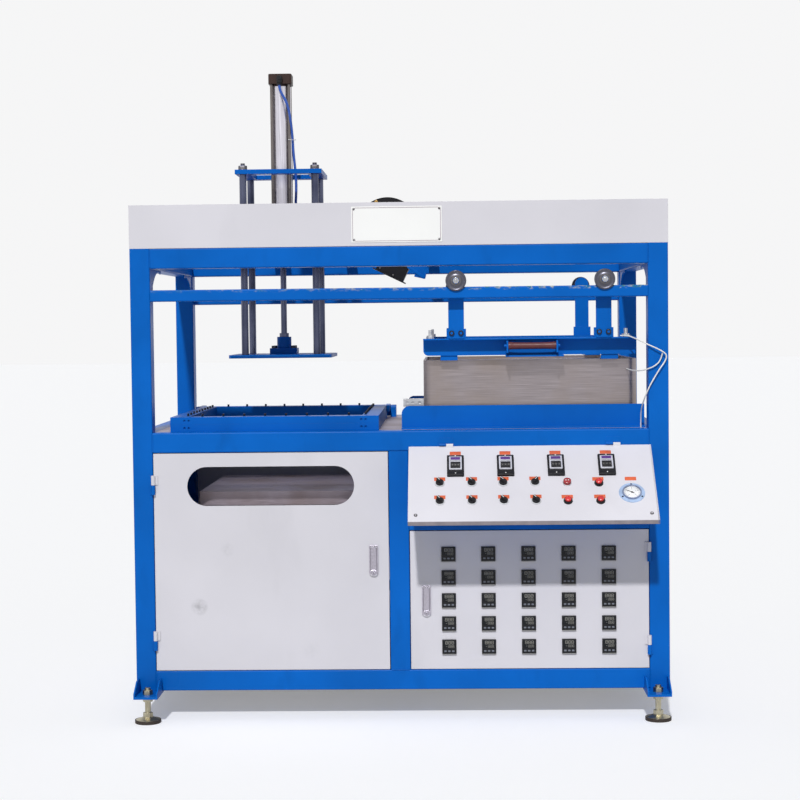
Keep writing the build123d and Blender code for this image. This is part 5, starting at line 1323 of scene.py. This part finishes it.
class FORGE_OT_carriage(bpy.types.Operator):
    """Hanger bolts and the spool grip"""

    bl_idname = "forge.carriage"
    bl_label = "Carriage fittings"

    def execute(self, context):
        mm = MM
        heads = []
        inset, height = HANGER_BOLT["inset"], HANGER_BOLT["height"]
        for x in WHEEL_PLACES.values():
            for side in (-16, 16):
                front = facing_front(x + side, inset, height)
                rear = Place(at(x + side, DEEP - inset, height), (-1, 0, 0), (0, 0, 1))
                heads += [socket_head(seat, 9.4 * mm, 7 * mm) for seat in (front, rear)]
        piece("hanger_bolts", heads, "oiled_steel", "heater_carriage")
        low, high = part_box("handle_grip")
        middle = (low + high) / 2
        place = Place((low.x, middle.y, middle.z), (0, 1, 0), (0, 0, 1))
        length = high.x - low.x
        share = np.linspace(0, 1, 33)
        waist = (12.6 - 1.5 * np.sin(share * math.pi) ** 0.6) * mm
        ends = np.minimum(share, 1 - share) * length
        radius = np.where(ends < 0.011, 13.0 * mm, waist)
        profile = np.column_stack([radius, share * length])
        closed = [(5.5 * mm, 0), *profile.tolist(), (5.5 * mm, length), (5.5 * mm, 0)]
        made = piece("spool_grip", [turned(closed, place, 48)], "maroon_grip", "grip", 30)
        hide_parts("handle_grip")
        return {"FINISHED"}


# ---- Press head ----


class FORGE_OT_press_head(bpy.types.Operator):
    """Nuts of the guide rods and the socket bolts of the press hub"""

    bl_idname = "forge.press_head"
    bl_label = "Press head bolts"

    def execute(self, context):
        mm = MM
        nuts, stubs, heads = [], [], []
        for x in (-GUIDE_ROD[0], GUIDE_ROD[0]):
            for y in (-GUIDE_ROD[1], GUIDE_ROD[1]):
                place = level(PRESS[0] + x, PRESS[1] + y, YOKE_TOP)
                washer = in_mm((0, 2.6), (17, 2.6), (17.4, 2), (17.4, 0))
                nuts.append(turned(washer, place, 36))
                nuts.append(bolt_head(place.shifted(0, 0, 2.4 * mm), 28 * mm, 13.4 * mm))
                stubs.append(turned(thread(8.4 * mm, 14 * mm, 24 * mm, 1.75 * mm), place, 28))
        for x in (-1, 1):
            for y in (-1, 1):
                seat = level(PRESS[0] + x * HUB_BOLT, PRESS[1] + y * HUB_BOLT, HUB_TOP)
                heads.append(socket_head(seat, 8.4 * mm, 9.4 * mm))
        piece("guide_nuts", nuts, "dull_steel", "press")
        piece("guide_stubs", stubs, "dull_steel", "press", 20)
        piece("hub_bolts", heads, "oiled_steel", "press")
        return {"FINISHED"}


def thread(radius, low, high, pitch):
    """Profile of a screwed end: the radius less a tooth of a third of the pitch, along the length."""
    count = int((high - low) / pitch) * 2 + 1
    heights = np.linspace(low, high, count)
    depth = np.where(np.arange(count) % 2, 0.0, pitch / 3)
    return [(radius - pitch, low), *np.column_stack([radius - depth, heights]).tolist(), (0, high)]


# ---- Cooling blower ----

BLOWER_FRONT = 445.0
BLOWER_RIVETS = ((852, 1577), (900, 1551), (925, 1640), (960, 1700), (800, 1640), (775, 1700))
STAY_LEAN = 0.22


class FORGE_OT_blower(bpy.types.Operator):
    """Rivets of the blower's snail housing, its brass screw and the stay beside the outlet"""

    bl_idname = "forge.blower"
    bl_label = "Blower trim"

    def execute(self, context):
        mm = MM
        rivets = [domed_head(facing_front(x, BLOWER_FRONT, z), 4.2 * mm, 2.2 * mm) for x, z in BLOWER_RIVETS]
        piece("blower_rivets", rivets, "dull_steel", "machine_frame")
        lean_out, lean_up = math.cos(STAY_LEAN), math.sin(STAY_LEAN)
        plate = Place(at(1012, 450, 1600), (lean_out, 0, -lean_up), (lean_up, 0, lean_out))
        stay = [slab(42 * mm, 122 * mm, 5 * mm, plate, 2 * mm, 0.6 * mm)]
        strut = Place(at(985, 446, 1562), (58, 0, -41), (41, 0, 58))
        stay.append(slab(76 * mm, 11 * mm, 4 * mm, strut, 2 * mm, 0.6 * mm))
        piece("blower_stay", stay, "frame_enamel", "machine_frame")
        screw = bolt_head(facing_front(841, BLOWER_FRONT, 1822), 13 * mm, 6 * mm)
        piece("blower_screw", [screw], "brass", "machine_frame")
        return {"FINISHED"}


# ---- Welds ----

SEAM_HEIGHTS = (98.0, 931.0, 1571.0)
SEAM_START, SEAM_END = 4.0, 66.0


class FORGE_OT_welds(bpy.types.Operator):
    """Rippled weld beads where rails meet posts"""

    bl_idname = "forge.welds"
    bl_label = "Weld beads"

    def execute(self, context):
        beads = []
        seams = [(x, y, z) for z in SEAM_HEIGHTS for x in (70.0, 1790.0) for y in (0.0, DEEP)]
        seams += [(x, y, z) for x in (0.0, 1860.0) for y in (70.0, 1050.0) for z in SEAM_HEIGHTS]
        beads += [self.bead((x, y, z + SEAM_START), (x, y, z + SEAM_END)) for x, y, z in seams]
        for x, way in ((890.0, 1), (960.0, -1)):
            for y in (0.0, DEEP):
                beads.append(self.bead((x + way * SEAM_START, y, 168), (x + way * SEAM_END, y, 168)))
        piece("weld_beads", beads, "frame_enamel", "machine_frame", 60)
        return {"FINISHED"}

    def bead(self, start, end):
        """Bead along a straight seam: radius 2.2 mm and a ripple of one wave every 3.5 mm."""
        length = np.linalg.norm(np.subtract(end, start))
        steps = int(length / 0.9)
        path = np.linspace(at(*start), at(*end), steps)
        return along(path, lambda share: (2.1 + 0.35 * np.sin(share * length / 3.5 * 2 * math.pi)) * MM, 10)


# ---- Add-on ----

OPERATORS = (
    FORGE_OT_stage, FORGE_OT_finishes, FORGE_OT_cords, FORGE_OT_timers, FORGE_OT_selectors, FORGE_OT_buttons,
    FORGE_OT_gauge, FORGE_OT_labels, FORGE_OT_meters, FORGE_OT_locks, FORGE_OT_plate, FORGE_OT_cylinder,
    FORGE_OT_wheels, FORGE_OT_carriage, FORGE_OT_press_head, FORGE_OT_blower, FORGE_OT_welds,
)
GROUPS = ((ForgeStudio, "forge_studio"), (ForgeColours, "forge_colours"), (ForgeCords, "forge_cords"))


class FORGE_PT_sidebar(bpy.types.Panel):
    """Lists the steps that dress the machine"""

    bl_idname = "FORGE_PT_sidebar"
    bl_label = "Vacuum forming machine"
    bl_space_type = "VIEW_3D"
    bl_region_type = "UI"
    bl_category = "Forming"

    def draw(self, context):
        for group, name in GROUPS:
            settings = getattr(context.scene, name)
            box = self.layout.box()
            for key in group.__annotations__:
                box.prop(settings, key)
        for operator in OPERATORS:
            self.layout.operator(operator.bl_idname)


def register():
    for group, name in GROUPS:
        bpy.utils.register_class(group)
        setattr(bpy.types.Scene, name, bpy.props.PointerProperty(type=group))
    for operator in OPERATORS:
        bpy.utils.register_class(operator)
    bpy.utils.register_class(FORGE_PT_sidebar)


def unregister():
    bpy.utils.unregister_class(FORGE_PT_sidebar)
    for operator in reversed(OPERATORS):
        bpy.utils.unregister_class(operator)
    for group, name in reversed(GROUPS):
        delattr(bpy.types.Scene, name)
        bpy.utils.unregister_class(group)


def main():
    register()
    for operator in OPERATORS:
        step = operator.bl_idname.split(".")[1]
        getattr(bpy.ops.forge, step)()


if __name__ == "__main__":
    main()
